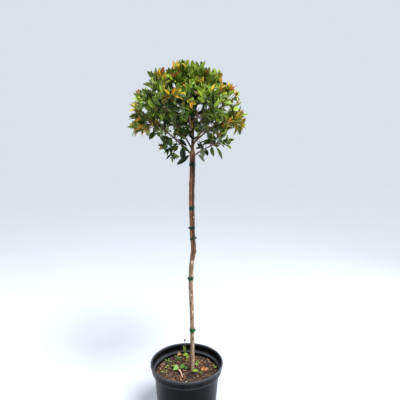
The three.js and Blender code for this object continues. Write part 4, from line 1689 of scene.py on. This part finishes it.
for tint, x, y, heading, length, ratio, rise in WEED_LEAVES:
    ground = Vector((x, y, soil_height(x, y)))
    foot = ground + Vector((0, 0, 0.0022 + 0.25 * length))
    if tint.startswith("dry"):
        foot = ground + Vector((0, 0, 0.0030))
    else:
        root = ground - Vector((0, 0, 0.002))
        weed_stems.append([(root, 0.0004), (ground.lerp(foot, 0.6), 0.0004), (foot, 0.0003)])
    along = heading_vector(heading, rise)
    facing = Vector((weed_chance.uniform(-0.2, 0.2), -0.35, 1))
    shapes = young_leaves if tint.startswith("dry") else grown_leaves
    matrix = leaf_matrix(foot, along, facing, length, length * ratio)
    stamp(weed_shapes[tint], weed_chance.choice(shapes), matrix)

SEEDLING_FOOT = Vector((-0.008, 0.0935, SOIL_LEVEL - 0.002))
SEEDLING_HEIGHT = 0.062
# The tint, the height of the foot, the heading in degrees, the length, its width as a share, and the rise.
SEEDLING_LEAVES = [
    ("weed_lime", 0.014, 200, 0.028, 0.19, 6.0),
    ("weed_green", 0.013, 340, 0.025, 0.17, 7.0),
]
seedling_course = []
for step in range(9):
    share = step / 8
    bow = Vector((0.0016 * math.sin(3 * share), 0, SEEDLING_HEIGHT * share))
    seedling_course.append((SEEDLING_FOOT + bow, between(0.0012, 0.0010, share)))
weed_stems.append(seedling_course)
for tint, height, heading, length, ratio, rise in SEEDLING_LEAVES:
    foot = SEEDLING_FOOT + Vector((0.001, 0, height))
    facing = Vector((0, -1, 0.2))
    matrix = leaf_matrix(foot, heading_vector(heading, rise), facing, length, length * ratio)
    stamp(weed_shapes[tint], grown_leaves[3], matrix)
for name, (upper, lower) in WEED_TINTS.items():
    hairs = {"grain": (500, 3, 0.6), "raised": (0.0008, 0.6)}
    finishes = [
        grained_finish(name, upper, 0.5, Specular_IOR_Level=0.35, **hairs),
        grained_finish(f"{name}_under", lower, 0.65, Specular_IOR_Level=0.2, **hairs),
    ]
    weeds = new_piece(name, weed_shapes[name], finishes)
    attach(weeds, "root")
stem_finish = grained_finish(
    "weed_stems",
    (0.13, 0.15, 0.05),
    0.6,
    grain=(200, 3, 0.6),
    stops=[(0.35, (0.10, 0.055, 0.030)), (0.65, (0.14, 0.17, 0.05))],
    Specular_IOR_Level=0.3,
)
stems = new_piece("weed_stems", limbs_mesh("weed_stems", weed_stems, 1), [stem_finish])
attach(stems, "root")

bud_shape = bmesh.new()
bmesh.ops.create_icosphere(bud_shape, subdivisions=3, radius=1)
bud_top = SEEDLING_FOOT + Vector((0.0014, 0, SEEDLING_HEIGHT))
BUD_HALF_SIZE = (0.0034, 0.0030, 0.0040)
for vertex in bud_shape.verts:
    ragged = 1 + 0.35 * noise.noise(vertex.co * 2.1)
    swollen = Vector([value * half for value, half in zip(vertex.co, BUD_HALF_SIZE)])
    vertex.co = bud_top + swollen * ragged
bud_finish = grained_finish(
    "spent_bud",
    (0.045, 0.030, 0.020),
    0.8,
    grain=(700, 3, 0.6),
    stops=[(0.35, (0.018, 0.013, 0.010)), (0.65, (0.085, 0.060, 0.035))],
    raised=(0.0008, 0.7),
)
bud = new_piece("spent_bud", bud_shape, [bud_finish])
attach(bud, "root")

STICK_ENDS = (Vector((-0.0262, 0.000, 0.1955)), Vector((-0.0130, -0.0390, 0.1935)))
stick_course = []
for step in range(13):
    share = step / 12
    bow = Vector((0.0006 * math.sin(5 * share), 0, 0.0010 * math.sin(math.pi * share)))
    girth = between(0.0028, 0.0015, share) * (1 + 0.12 * math.sin(9 * share))
    stick_course.append((STICK_ENDS[0].lerp(STICK_ENDS[1], share) + bow, girth))
stick_finish = grained_finish(
    "peeled_stick",
    (0.55, 0.36, 0.26),
    0.7,
    grain=(260, 4, 0.6),
    stops=[(0.3, (0.36, 0.21, 0.14)), (0.5, (0.62, 0.42, 0.31)), (0.75, (0.74, 0.57, 0.46))],
    raised=(0.0006, 0.6),
)
stick_shape = limbs_mesh("peeled_stick", [stick_course], 3)
roughen(stick_shape, 0.0003, 300)
stick = new_piece("peeled_stick", stick_shape, [stick_finish])
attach(stick, "root")
